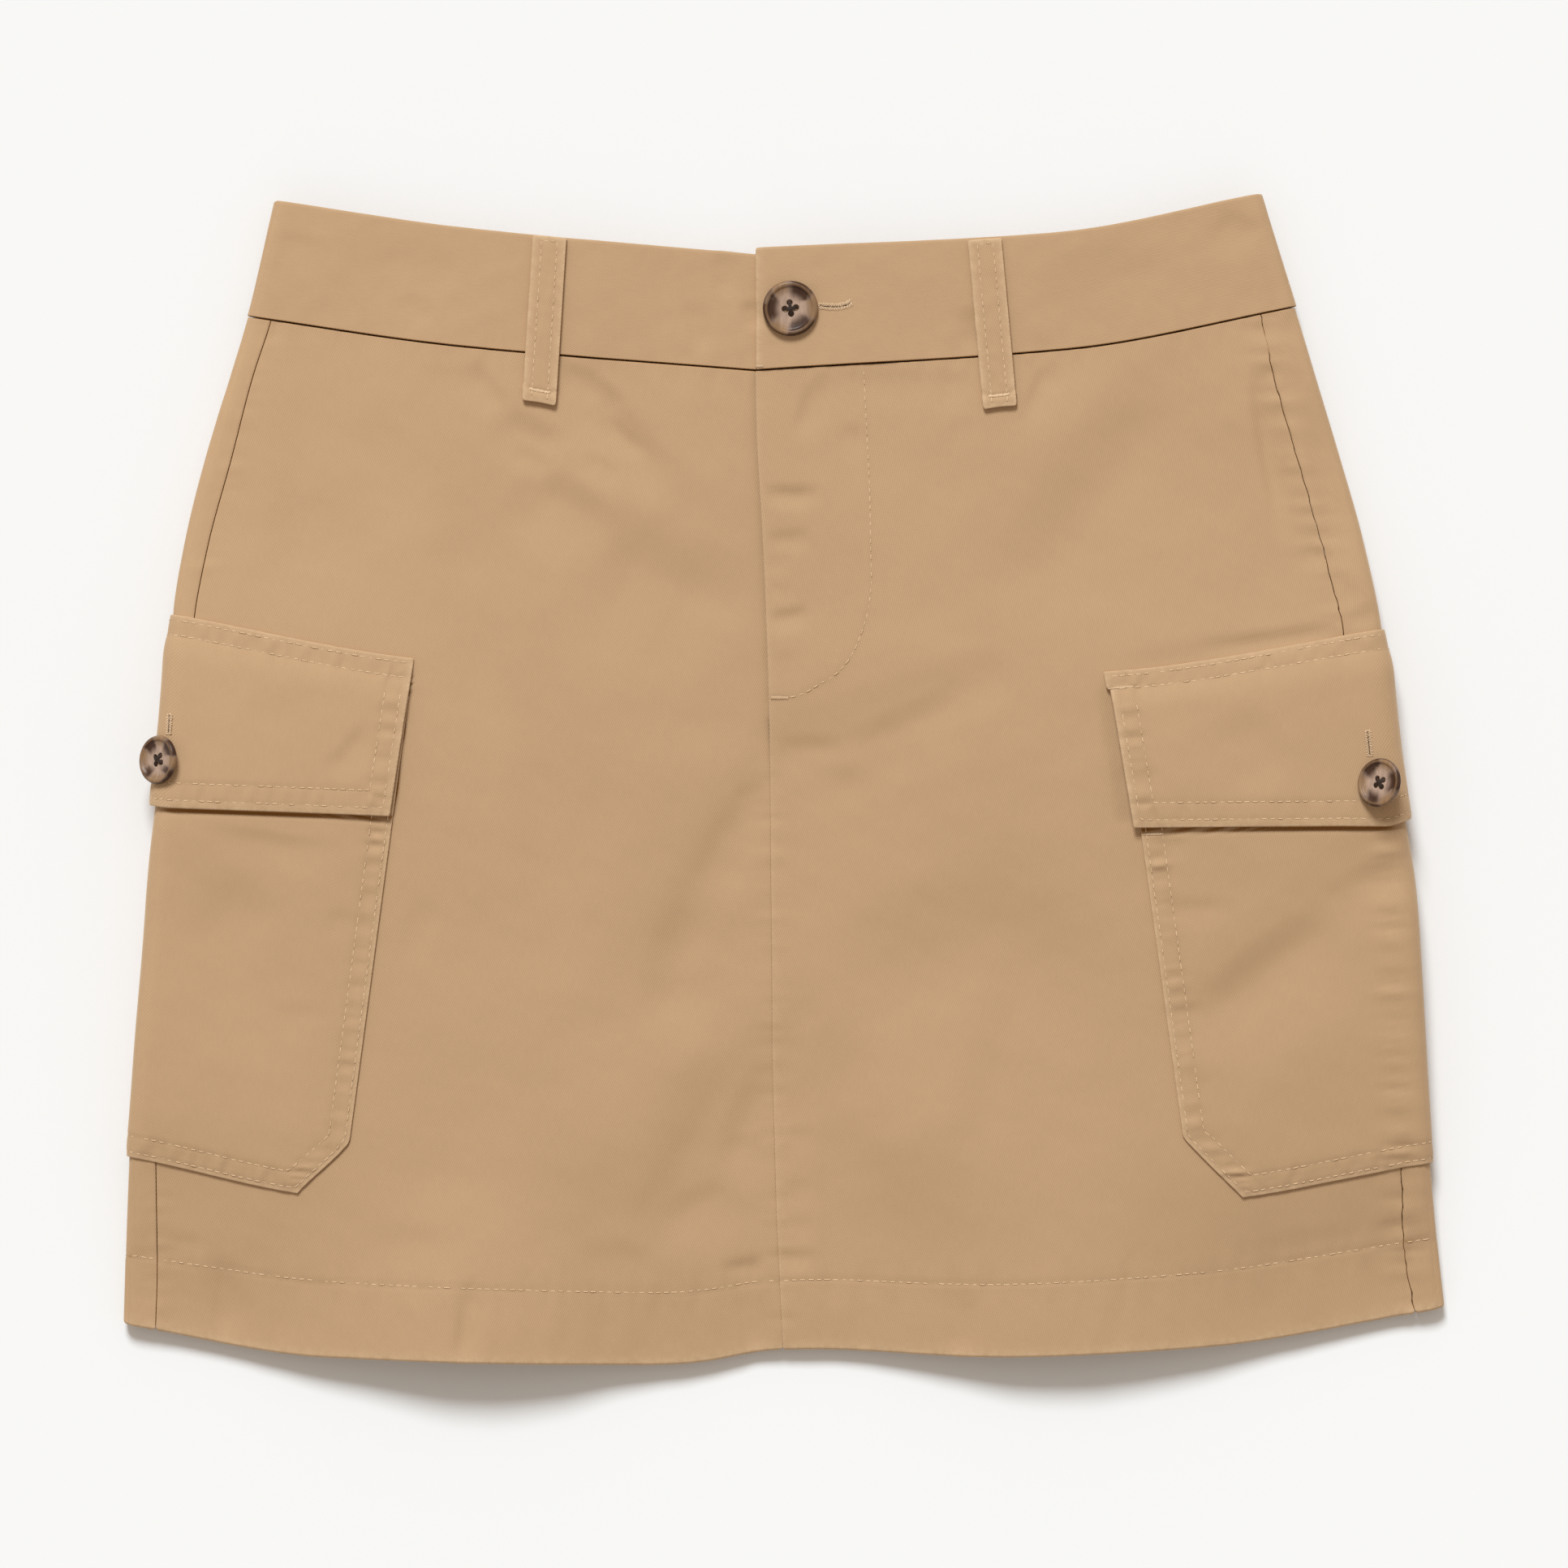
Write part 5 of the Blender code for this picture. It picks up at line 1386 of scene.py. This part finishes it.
def loopSheet(centre, thickness, seed, facing, slant=(0.0, 0.0)):
    # a strip from its middle line, facing up or (-1) down, its ends at a slant
    part = np.linspace(0, 1, len(centre))
    offsets = facing * np.linspace(loop["width"] / 2, -loop["width"] / 2, 21)
    grid = np.zeros((len(centre), len(offsets), 5))
    grid[..., :3] = centre[:, None, :]
    fromEnd = np.clip(1 - (1 - part) * loop["length"] / loop["corner"], 0, 1)
    narrower = loop["corner"] * (1 - np.sqrt(1 - (0.97 * fromEnd) ** 2))
    grid[..., 0] += offsets[None, :] * (1 - narrower / (loop["width"] / 2))[:, None]
    grid[..., 1] += offsets[None, :] * mix(*slant, part)[:, None]
    grid[..., 3] = part[:, None]
    across = spread(loop["width"], loop["step"])
    down = spread(loop["length"], 1.0, 0.35, (loop["length"] - loop["tackPlace"], loop["length"]), 1.5)
    sheet = madeSheet(grid, 0.0, across, down, radii=(loop["radius"],) * 4)
    sheet["thickness"] = thickness(sheet["fromBottom"])
    x, y = placesOf(sheet)
    side = np.minimum(*[
        np.abs(sheet[edge] - loop["rowsIn"] + loop["radius"]) for edge in ("fromLeft", "fromRight")
    ])
    ends = ease((sheet["fromBottom"] - 0.4) / 1.0)
    sheet["relief"] += groove(side, loop["groove"], 0.7) * ends
    sheet["relief"] += 0.08 * ripples(x, y, seed, 4, 14)
    tack = np.abs(sheet["fromBottom"] - loop["tackPlace"] + loop["radius"])
    sheet["relief"] += groove(tack, 0.3, 0.9)
    sheet["relief"] += 0.2 * bell(sheet["fromBottom"] - 1.9, 1.3) * (facing > 0)
    sheet["pressed"] += np.exp(-side / 1.0)
    return sheet


def buildFrontLoop(name, topX, endX, longer, slant, seed):
    part = np.linspace(0, 1, loop["points"])
    topY = ringY(ringAt(np.float64(bandTop)), np.float64(topX)) - loop["belowTop"]
    place, out = frontPlace(mix(topX, endX, part), topY - (loop["length"] + longer) * part)
    onBand, onPanel = cut["bandWall"] / 2 + cut["loopWall"], cut["panelWall"] / 2 + loop["turnedWall"]
    lifted = mix(onBand, onPanel, part**3) + cut["layGap"] + loop["bow"] * np.sin(math.pi * part)
    centre = place + out * lifted[:, None]
    relief = creaseRelief(centre[:, 0], centre[:, 1])
    centre[:, 2] += relief * ease((part - 0.72) * 5)

    def thickness(fromEnd):
        return mix(loop["turnedWall"], cut["loopWall"], ease((fromEnd - loop["turned"]) / 1.0))

    sheets[name] = loopSheet(centre, thickness, seed, 1, slant)
    sheets[name]["inSeam"], sheets[name]["litRims"] = (10.0, 0.0, 0.0, 6.0), 1
    addCloth(name, "belt loops")


def buildBackLoop(name, x, seed):
    topY = ringY(ringAt(np.float64(bandTop)), np.float64(x)) - cut["shorterAtBack"] - loop["belowTop"]
    part = np.linspace(0, 1, loop["points"])
    centre = np.stack([x + 0 * part, topY - loop["length"] * part, loop["backHeight"] + 0 * part], axis=-1)
    wall = cut["loopWall"] - loop["backThinner"]
    sheets[name] = loopSheet(centre, lambda fromEnd: wall + 0 * fromEnd, seed, -1)
    addCloth(name, "belt loops")


for seed, (name, *place) in enumerate(loop["front"]):
    buildFrontLoop(name, *place, 81 + seed)
for seed, (name, x) in enumerate(loop["back"]):
    buildBackLoop(name, x, 83 + seed)
print("belt loops made")

# stitching
stitching = {
    "khaki": (0.72, 0.505, 0.305, 1), "buttonhole": (0.80, 0.58, 0.365, 1), "brown": (0.024, 0.011, 0.006, 1),
    "inHole": (0.09, 0.045, 0.02, 1),
    "waistTack": ((-10.2, 153.9), (-7.7, 153.9)), "flyTack": ((-4.8, 30.4), (1.6, 30.2)),
    "waistHole": ((13.0, 176.4), (16.2, 176.0), (19.5, 175.9), (23.4, 176.6), (25.1, 177.8)),
    "flapTack": ((120.7, 33.5), (130.2, 34.4)), "pocketTack": ((133.4, -20.8), (141.4, -20.6)),
    "flapHole": {"under": ((-228.6, 24.0), (-228.9, 16.6)), "over": ((217.0, 17.8), (217.9, 8.4))},
}


def sewingThread(name, colour, shadeOf=0.12):
    # twisted cotton-wrapped thread
    made, net, shader = newMaterial(name)
    place = net.add("TexCoord").outputs["Object"]
    twist = net.noise(net.stretched(place, (5200, 5200, 5200)), 1.0, 1.0)
    shade = net.shaded(net.ramp(twist, 0.3, 0.7, 1 - shadeOf, 1 + shadeOf), colour)
    hole = net.add("Attribute", attribute_name="hole").outputs["Fac"]
    # painted shade where the thread dives into its hole, and each stitch's random tone
    net.put(net.blend(net.times(hole, 0.85), shade, stitching["inHole"]), shader.inputs["Base Color"])
    net.put(net.ramp(twist, 0.2, 0.8, 0.7, 0.55), shader.inputs["Roughness"])
    net.bump(shader, twist, 0.2, 0.0001)
    shader.inputs["Specular IOR Level"].default_value = 0.35
    return made


khakiThread = sewingThread("khaki sewing thread", stitching["khaki"])
holeThread = sewingThread("khaki buttonhole thread", stitching["buttonhole"])
brownThread = sewingThread("dark brown button thread", stitching["brown"], 0.3)


def sheetPath(name, path):
    # places and outward directions along it
    return sampled(sheets[name]["out"], path), unit(sampled(sheets[name]["outNormals"], path))


def inside(sheet, path, sides):
    # the part of a path that keeps this far from the left and right edges
    keep = (sampled(sheet["fromLeft"], path) > sides) & (sampled(sheet["fromRight"], path) > sides)
    return path[keep]


def rowAlong(name, path, seed, pitch=None):
    return stitchRow(*sheetPath(name, path), seed, pitch)


def sewPanels():
    rows = []
    for n, name in enumerate(("front_panel_under", "front_panel_over", "back_panel")):
        path = inside(sheets[name], lineAcross(sheets[name], hemStitch, "rows"), 0.6)
        rows.append(rowAlong(name, path, 101 + n))
    addPiece(sewn("hem_stitching", rows), khakiThread, slot="front_panel_over")
    tree = surfaceOf(pieces["front_panel_over_cloth"])
    fly = dropped(tree, curved(flyStitch, 260))
    tack = dropped(tree, curved(stitching["flyTack"], 30))
    rows = [stitchRow(*fly, 104), satinRow(*tack, halfWidth=0.75, pitch=0.3, seed=105)]
    tree = surfaceOf(pieces["front_panel_over_cloth"], pieces["waistband_cloth"])
    tack = dropped(tree, curved(stitching["waistTack"], 20))
    rows.append(satinRow(*tack, halfWidth=0.6, pitch=0.3, seed=106))
    addPiece(sewn("fly_stitching", rows), khakiThread, slot="front_panel_over")


def sewPocket(name):
    on = "pocket_" + name
    paths = [uPath(sheets[on], (row,) * 3, 1.5) for row in pocket["rowsIn"]]
    rows = [rowAlong(on, path, 111 + n) for n, path in enumerate(paths)]
    addPiece(sewn(on + "_stitching", rows), khakiThread, slot=on)


def sewTack(name, tree, line):
    row = satinRow(*dropped(tree, curved(line, 20)), halfWidth=0.32, pitch=0.32, seed=127, radius=0.15)
    addPiece(sewn(name, [row], holes=0.2), holeThread, slot=name[:-5])


def sewFlap(name):
    on = "flap_" + name
    sheet, rows = sheets[on], []
    for n in range(2):
        rows.append(rowAlong(on, uPath(sheet, flapRow(n), flap["topRows"][1] + 6.0), 121 + n))
        top = lineAcross(sheet, flap["topRows"][n], "fromTop")
        rows.append(rowAlong(on, inside(sheet, top, 1.6), 123 + n))
    tree = surfaceOf(pieces[on + "_cloth"])
    addPiece(sewn(on + "_stitching", rows), khakiThread, slot=on)
    if name == "over":
        sewTack("flap_over_tack", tree, stitching["flapTack"])
        sewTack("pocket_over_tack", surfaceOf(pieces["pocket_over_cloth"]), stitching["pocketTack"])
    sewButtonhole(on, on, tree, curved(stitching["flapHole"][name], 40), 125)


def sewButtonhole(name, slot, tree, line, seed):
    # uneven zigzag along both sides of the slit, a tack at its ends, and between them a dark brown strip as
    # painted shade in the slit
    points, out = dropped(tree, line)
    rows = [
        satinRow(points, out, halfWidth=0.62, pitch=0.56, seed=seed + n, offset=offset, radius=0.19)
        for n, offset in enumerate((-0.74, 0.74))
    ]
    along = unit(points[-1] - points[0])
    for end in (0, -1):
        aside = unit(np.cross(out[end], along))
        tack = np.stack([points[end] + aside * reach for reach in np.linspace(-1.0, 1.0, 12)])
        facing = np.repeat(out[end][None], len(tack), 0)
        rows.append(satinRow(tack, facing, halfWidth=0.35, pitch=0.5, seed=seed + 2, radius=0.16))
    addPiece(sewn(name + "_buttonhole", rows, holes=0.25), holeThread, slot=slot)
    # a dark brown strip along the slit: painted shade of the opening
    slit = points[::4] + out[::4] * 0.04
    dark = threadBars(slit[:-1], slit[1:], out[::4][1:], radius=0.13, arch=0.0, sink=0.0)
    addPiece(sewn(name + "_slit", [dark]), brownThread, slot=slot)


def sewLoop(name):
    sheet, rows = sheets[name], []
    sides = loop["rowsIn"] - loop["radius"]
    for n, field in enumerate(("fromLeft", "fromRight")):
        path = lineDown(sheet, sides, field)
        path = path[(sampled(sheet["fromBottom"], path) > 1.0) & (sampled(sheet["fromTop"], path) > 0.8)]
        rows.append(rowAlong(name, path, 131 + n, pitch=loop["stitchPitch"]))
    path = inside(sheet, lineAcross(sheet, loop["tackPlace"] - loop["radius"], "fromBottom"), 1.4)
    tacks = [satinRow(*sheetPath(name, path), halfWidth=0.5, pitch=0.34, seed=133, radius=0.2)]
    path = inside(sheet, lineAcross(sheet, 1.3, "fromTop"), sides)
    rows.append(rowAlong(name, path, 134, pitch=loop["endPitch"]))
    addPiece(sewn(name + "_stitching", rows), khakiThread, slot=name)
    addPiece(sewn(name + "_tack", tacks, holes=0.2), holeThread, slot=name)


sewPanels()
for name in ("under", "over"):
    sewPocket(name)
    sewFlap(name)
loopNames = [name for name, *_ in loop["front"] + loop["back"]]
for name in loopNames:
    sewLoop(name)
onBand = surfaceOf(pieces["waistband_cloth"])
sewButtonhole("waist", "waistband", onBand, curved(stitching["waistHole"], 60), 141)
print("stitching sewn")

# buttons
button = {
    # shares of the radius, from the axis out over the rim and down to the back
    "profile": ((0.0, 0.215), (0.3, 0.215), (0.55, 0.225), (0.68, 0.25), (0.755, 0.268),
                (0.79, 0.30), (0.83, 0.338), (0.885, 0.35), (0.94, 0.332), (0.975, 0.285),
                (1.0, 0.2), (0.975, 0.13), (0.92, 0.075), (0.74, 0.0), (0.0, 0.0)),
    "dish": 0.215, "middle": 0.175, "holePlace": 0.205, "holeRadius": 0.1,
    "segments": 96, "holeSegments": 20,
    "holeProfile": ((-0.2, 1.0), (0.17, 1.0), (0.235, 1.35)),  # height, and share of the hole's radius
    # its thread, in mm
    "strands": 5, "strandRadius": 0.25, "strandsApart": 0.34,
    "woundRadius": 1.5, "woundPitch": 0.34, "woundThread": 0.22, "woundFrom": -0.1, "woundSegments": 13,
}


def hornGroup():
    # mottled horn: a pale taupe middle, dark and golden clouds taking turns round the rim, a golden ring that
    # is partly a painted highlight of the rim's crest, and a dark turned edge, darker on one side as painted
    # shade
    group, net, out = socketed(
        "mottled horn",
        [("Disc", "Vector", None), ("Middle", "Color", (0.42, 0.29, 0.215, 1)),
         ("Dark", "Color", (0.045, 0.017, 0.008, 1)), ("Golden", "Color", (0.255, 0.145, 0.07, 1)),
         ("Place", "Vector", None), ("Clouds", "Float", 3.0), ("Turn", "Float", 60.0),
         ("Rim Turn", "Float", -45.0)],
        [("Colour", "Color"), ("Roughness", "Float")],
    )
    disc = net.given["Disc"]
    radius = net.add("VectorMath", disc, operation="LENGTH").outputs["Value"]
    moved = net.add("VectorMath", disc, net.given["Place"], operation="ADD").outputs[0]
    wander = net.math("SUBTRACT", net.noise(moved, 1.3, 3.0, 0.5), 0.5)
    across = net.add("SeparateXYZ", disc).outputs
    bearing = net.math("ARCTAN2", across[1], across[0])
    shadedSide = net.math("COSINE", net.math("SUBTRACT", bearing, net.math("RADIANS", net.given["Rim Turn"])))
    angle = net.math("SUBTRACT", bearing, net.math("RADIANS", net.given["Turn"]))
    angle = net.plus(angle, net.times(wander, 1.3))
    streaks = net.noise(net.stretched(moved, (1.0, 5.0, 1.0), 35), 1.3, 3.0, 0.6)
    cloud = net.math("COSINE", net.times(angle, net.given["Clouds"]))
    cloud = net.plus(cloud, net.times(wander, 2.0), net.varied(streaks, 0.9))
    dark = net.times(net.ramp(cloud, -0.75, 0.75), net.ramp(radius, 0.24, 0.66, 0.0, 0.97))
    golden = net.times(net.ramp(cloud, 0.3, -0.6), net.ramp(radius, 0.42, 0.8, 0.0, 0.9))
    # a paler golden ring inside the rim, partly a painted highlight of its crest
    ring = net.times(net.ramp(radius, 0.8, 0.87), net.ramp(radius, 0.95, 0.89, 0.0, 0.5))
    # the dark turned edge, darkest on one side as painted shade
    darkRimAndShade = net.times(net.ramp(radius, 0.92, 0.99), net.ramp(shadedSide, -0.7, 0.8, 0.12, 0.9))
    colour = net.given["Middle"]
    for share, label in ((golden, "Golden"), (dark, "Dark"), (ring, "Golden"), (darkRimAndShade, "Dark")):
        colour = net.blend(share, colour, net.given[label])
    net.put(net.shaded(net.ramp(streaks, 0.3, 0.7, 0.86, 1.14), colour), out.inputs["Colour"])
    net.put(net.ramp(streaks, 0.2, 0.8, 0.3, 0.42), out.inputs["Roughness"])
    return group


horn = hornGroup()


def hornMaterial(name, clouds, turn, place, rimTurn):
    made, net, shader = newMaterial(name)
    uv = net.add("UVMap", uv_map="disc").outputs[0]
    mottled = placed(net, horn, Disc=uv, Place=place, Clouds=clouds, Turn=turn, Rim_Turn=rimTurn)
    net.put(mottled.outputs["Colour"], shader.inputs["Base Color"])
    net.put(mottled.outputs["Roughness"], shader.inputs["Roughness"])
    net.bump(shader, net.noise(net.stretched(uv, (3, 40, 1), 20), 1.0, 2.0), 0.05, 0.0002)
    shader.inputs["Specular IOR Level"].default_value = 0.2
    shader.inputs["Coat Weight"].default_value = 0.03
    shader.inputs["Coat Roughness"].default_value = 0.15
    return made


def discOf(node):
    # where a solid button stands: the middle of its back, its outward direction and its radius
    points = pointsOf(bpy.data.objects[node].data).astype(float) / mm
    middle = (points.max(axis=0) + points.min(axis=0)) / 2
    axis = np.linalg.svd(points - points.mean(axis=0))[2][2]
    axis = axis * np.sign(axis[2])
    heights = (points - middle) @ axis
    flat = (points - middle) - heights[:, None] * axis
    return middle + axis * heights.min(), axis, np.linalg.norm(flat, axis=1).max()


def turnedDisc(name, radius):
    profile = curved(button["profile"], 64) * radius
    segments = button["segments"]
    angles = np.linspace(0, math.tau, segments, endpoint=False)
    rings = profile[1:-1]
    points = [(0.0, 0.0, profile[0, 1])]
    for r, z in rings:
        points += [(r * math.cos(a), r * math.sin(a), z) for a in angles]
    points.append((0.0, 0.0, profile[-1, 1]))
    last = len(points) - 1
    faces = []
    for k in range(segments):
        after = (k + 1) % segments
        faces.append((0, 1 + k, 1 + after))
        faces.append((last, last - segments + after, last - segments + k))
        for n in range(len(rings) - 1):
            first = 1 + n * segments
            faces.append((first + k, first + segments + k, first + segments + after, first + after))
    return plainMesh(name, points, faces)


def holeCutters(name, radius, turn):
    points, faces, sides = [], [], button["holeSegments"]
    for n in range(4):
        angle = math.radians(turn + 90 * n)
        x, y = math.cos(angle) * button["holePlace"], math.sin(angle) * button["holePlace"]
        first = len(points)
        for height, wide in button["holeProfile"]:
            for k in range(sides):
                a, wider = math.tau * k / sides, button["holeRadius"] * wide
                across, along = x + math.cos(a) * wider, y + math.sin(a) * wider
                points.append([across * radius, along * radius, height * radius])
        for low in (first, first + sides):
            for k in range(sides):
                after = (k + 1) % sides
                faces.append((low + k, low + after, low + sides + after, low + sides + k))
        faces.append([first + k for k in reversed(range(sides))])
        faces.append([first + 2 * sides + k for k in range(sides)])
    return plainMesh(name + "_holes", points, faces)


def latheButton(name, radius, turn):
    body, cutter = turnedDisc(name, radius), holeCutters(name, radius, turn)
    drilled = body.modifiers.new("holes", "BOOLEAN")
    drilled.operation, drilled.object, drilled.solver = "DIFFERENCE", cutter, "EXACT"
    bpy.context.view_layer.update()
    done = bpy.data.meshes.new_from_object(body.evaluated_get(bpy.context.evaluated_depsgraph_get()))
    bpy.data.objects.remove(cutter)
    bpy.data.objects.remove(body)
    return done


def buildButton(node, turn, shank, lower, lean, clouds, cloudTurn, cloudPlace, rimTurn):
    # pulled down on its thread and leant a little further than the solid, about its own middle
    back, axis, radius = discOf(node)
    leant = unit(axis + np.array(lean))
    back = back + (axis - leant) * button["middle"] * radius - np.array([0, 0, lower])
    mesh = latheButton(node + "_horn", radius, turn)
    layer = mesh.uv_layers.new(name="disc")
    for corner in mesh.loops:
        x, y, _ = mesh.vertices[corner.vertex_index].co
        layer.data[corner.index].uv = (x / radius, y / radius)
    stand = Vector(leant).to_track_quat("Z", "Y").to_matrix().to_4x4()
    stand = Matrix.Translation(Vector(back * mm)) @ stand @ Matrix.Scale(mm, 4)
    mesh.transform(stand)
    mesh.shade_smooth()
    made = bpy.data.objects.new(node + "_horn", mesh)
    scene.collection.objects.link(made)
    mottled = hornMaterial("mottled horn, " + node.replace("_", " "), clouds, cloudTurn, cloudPlace, rimTurn)
    addPiece(made, mottled, node)

    # the thread through the holes, and wound round below the button
    chance = np.random.default_rng(int(turn) + len(node))
    starts, ends = [], []
    for pair in range(2):
        angle = math.radians(turn + 90 * pair)
        cosine, sine = math.cos(angle), math.sin(angle)
        along, aside = np.array([cosine, sine, 0]), np.array([-sine, cosine, 0])
        for strand in range(button["strands"]):
            off = aside * (strand - (button["strands"] - 1) / 2) * button["strandsApart"]
            off = off + aside * chance.normal(0, 0.08)
            reach = along * button["holePlace"] * radius * chance.uniform(1.25, 1.6)
            lift = np.array([0, 0, button["dish"] * radius + 0.1 * pair + chance.uniform(0, 0.12)])
            starts.append(-reach + off * 0.5 + lift)
            ends.append(reach + off * 0.7 + lift)
    up = np.repeat(np.array([[0, 0, 1.0]]), len(starts), 0)
    rows = [threadBars(np.array(starts), np.array(ends), up, button["strandRadius"], arch=0.42, sink=1.6)]
    angles = np.linspace(0, math.tau, button["woundSegments"])
    for n in np.arange(0, shank / button["woundPitch"]):
        height = button["woundFrom"] - button["woundPitch"] * n + 0 * angles
        flat = button["woundRadius"] * np.array([np.cos(angles), np.sin(angles)])
        circle = np.stack([*flat, height], axis=-1)
        out = unit(circle * [1, 1, 0])
        facing = unit(out[:-1] + out[1:])
        rows.append(threadBars(circle[:-1], circle[1:], facing, button["woundThread"], arch=0.02, sink=0.0))
    rows = [(np.array([tuple(stand @ Vector(p)) for p in some]) / mm, quads) for some, quads in rows]
    addPiece(sewn(node + "_thread", rows), brownThread, slot=node)


buildButton("waist_button", turn=8.0, shank=0.4, lower=0.7, lean=(0, 0, 0),
            clouds=3.0, cloudTurn=34.0, cloudPlace=(3.1, 0.4, 0.0), rimTurn=-40.0)
buildButton("pocket_button_under", turn=62.0, shank=0.8, lower=1.0, lean=(0, 0, 0),
            clouds=4.0, cloudTurn=45.0, cloudPlace=(0.7, 5.2, 0.0), rimTurn=-30.0)
buildButton("pocket_button_over", turn=45.0, shank=4.0, lower=0.4, lean=(-0.22, -0.03, 0.0),
            clouds=3.0, cloudTurn=-12.0, cloudPlace=(6.3, 2.2, 0.0), rimTurn=-120.0)
print("buttons made")

# what each cloth piece was cut to: flat width and length, its area, and what it lies on
cuts = {
    "front_panel_under_cloth": (0.250, 0.400, 0.0845, ("back_panel_cloth",)),
    "front_panel_over_cloth": (0.238, 0.400, 0.0828, ("front_panel_under_cloth", "back_panel_cloth")),
    "back_panel_cloth": (0.525, 0.400, 0.1866, ()),
    "waistband_cloth": (0.806, 0.0445, 0.0355, ("front_panel_under_cloth",)),
    "pocket_under_cloth": (0.212, 0.190, 0.0345, ("back_panel_cloth",)),
    "pocket_over_cloth": (0.228, 0.190, 0.0372, ("back_panel_cloth",)),
    "flap_under_cloth": (0.204, 0.072, 0.0130, ("pocket_under_cloth",)),
    "flap_over_cloth": (0.222, 0.072, 0.0144, ("pocket_over_cloth",)),
}
for name, (width, length, area, restsOn) in cuts.items():
    list(restsOn)

# floor, light and camera
studio = {
    "floor": (0.86, 0.86, 0.855, 1), "floorReach": 6.0, "sky": (1.0, 0.90, 0.80), "skyStrength": 0.5,
    "sun": (0.886, 0.947, 1.0), "sunStrength": 3.066, "sunSize": 19.0, "sunTurn": 11.0, "sunHeight": 44.0,
    "cameraHeight": 3.5, "cameraY": -0.00197, "lens": 214.7,
}
reach = studio["floorReach"]
corners = [(-reach, -reach, 0), (reach, -reach, 0), (reach, reach, 0), (-reach, reach, 0)]
floor = plainMesh("floor", corners, [(0, 1, 2, 3)])
floorPaint, net, shader = newMaterial("pale floor")
shader.inputs["Base Color"].default_value = studio["floor"]
shader.inputs["Roughness"].default_value = 0.9
shader.inputs["Specular IOR Level"].default_value = 0.0
floor.data.materials.append(floorPaint)

world = bpy.data.worlds.new("studio")
world.use_nodes = True
background = world.node_tree.nodes["Background"]
background.inputs["Color"].default_value = (*studio["sky"], 1)
background.inputs["Strength"].default_value = studio["skyStrength"]
scene.world = world

sun = bpy.data.lights.new("window light", "SUN")
sun.energy, sun.color, sun.angle = studio["sunStrength"], studio["sun"], math.radians(studio["sunSize"])
sunLight = bpy.data.objects.new("window light", sun)
turn, height = math.radians(studio["sunTurn"]), math.radians(studio["sunHeight"])
comesFrom = Vector((-math.sin(turn) * math.cos(height), math.cos(turn) * math.cos(height), math.sin(height)))
sunLight.rotation_euler = comesFrom.to_track_quat("Z", "Y").to_euler()
scene.collection.objects.link(sunLight)

lens = bpy.data.cameras.new("camera")
lens.sensor_width, lens.lens, lens.clip_end = 36.0, studio["lens"], 50.0
camera = bpy.data.objects.new("camera", lens)
camera.location = (0.0, studio["cameraY"], studio["cameraHeight"])
scene.collection.objects.link(camera)
scene.camera = camera
scene.view_settings.view_transform = "Standard"
print("studio ready")
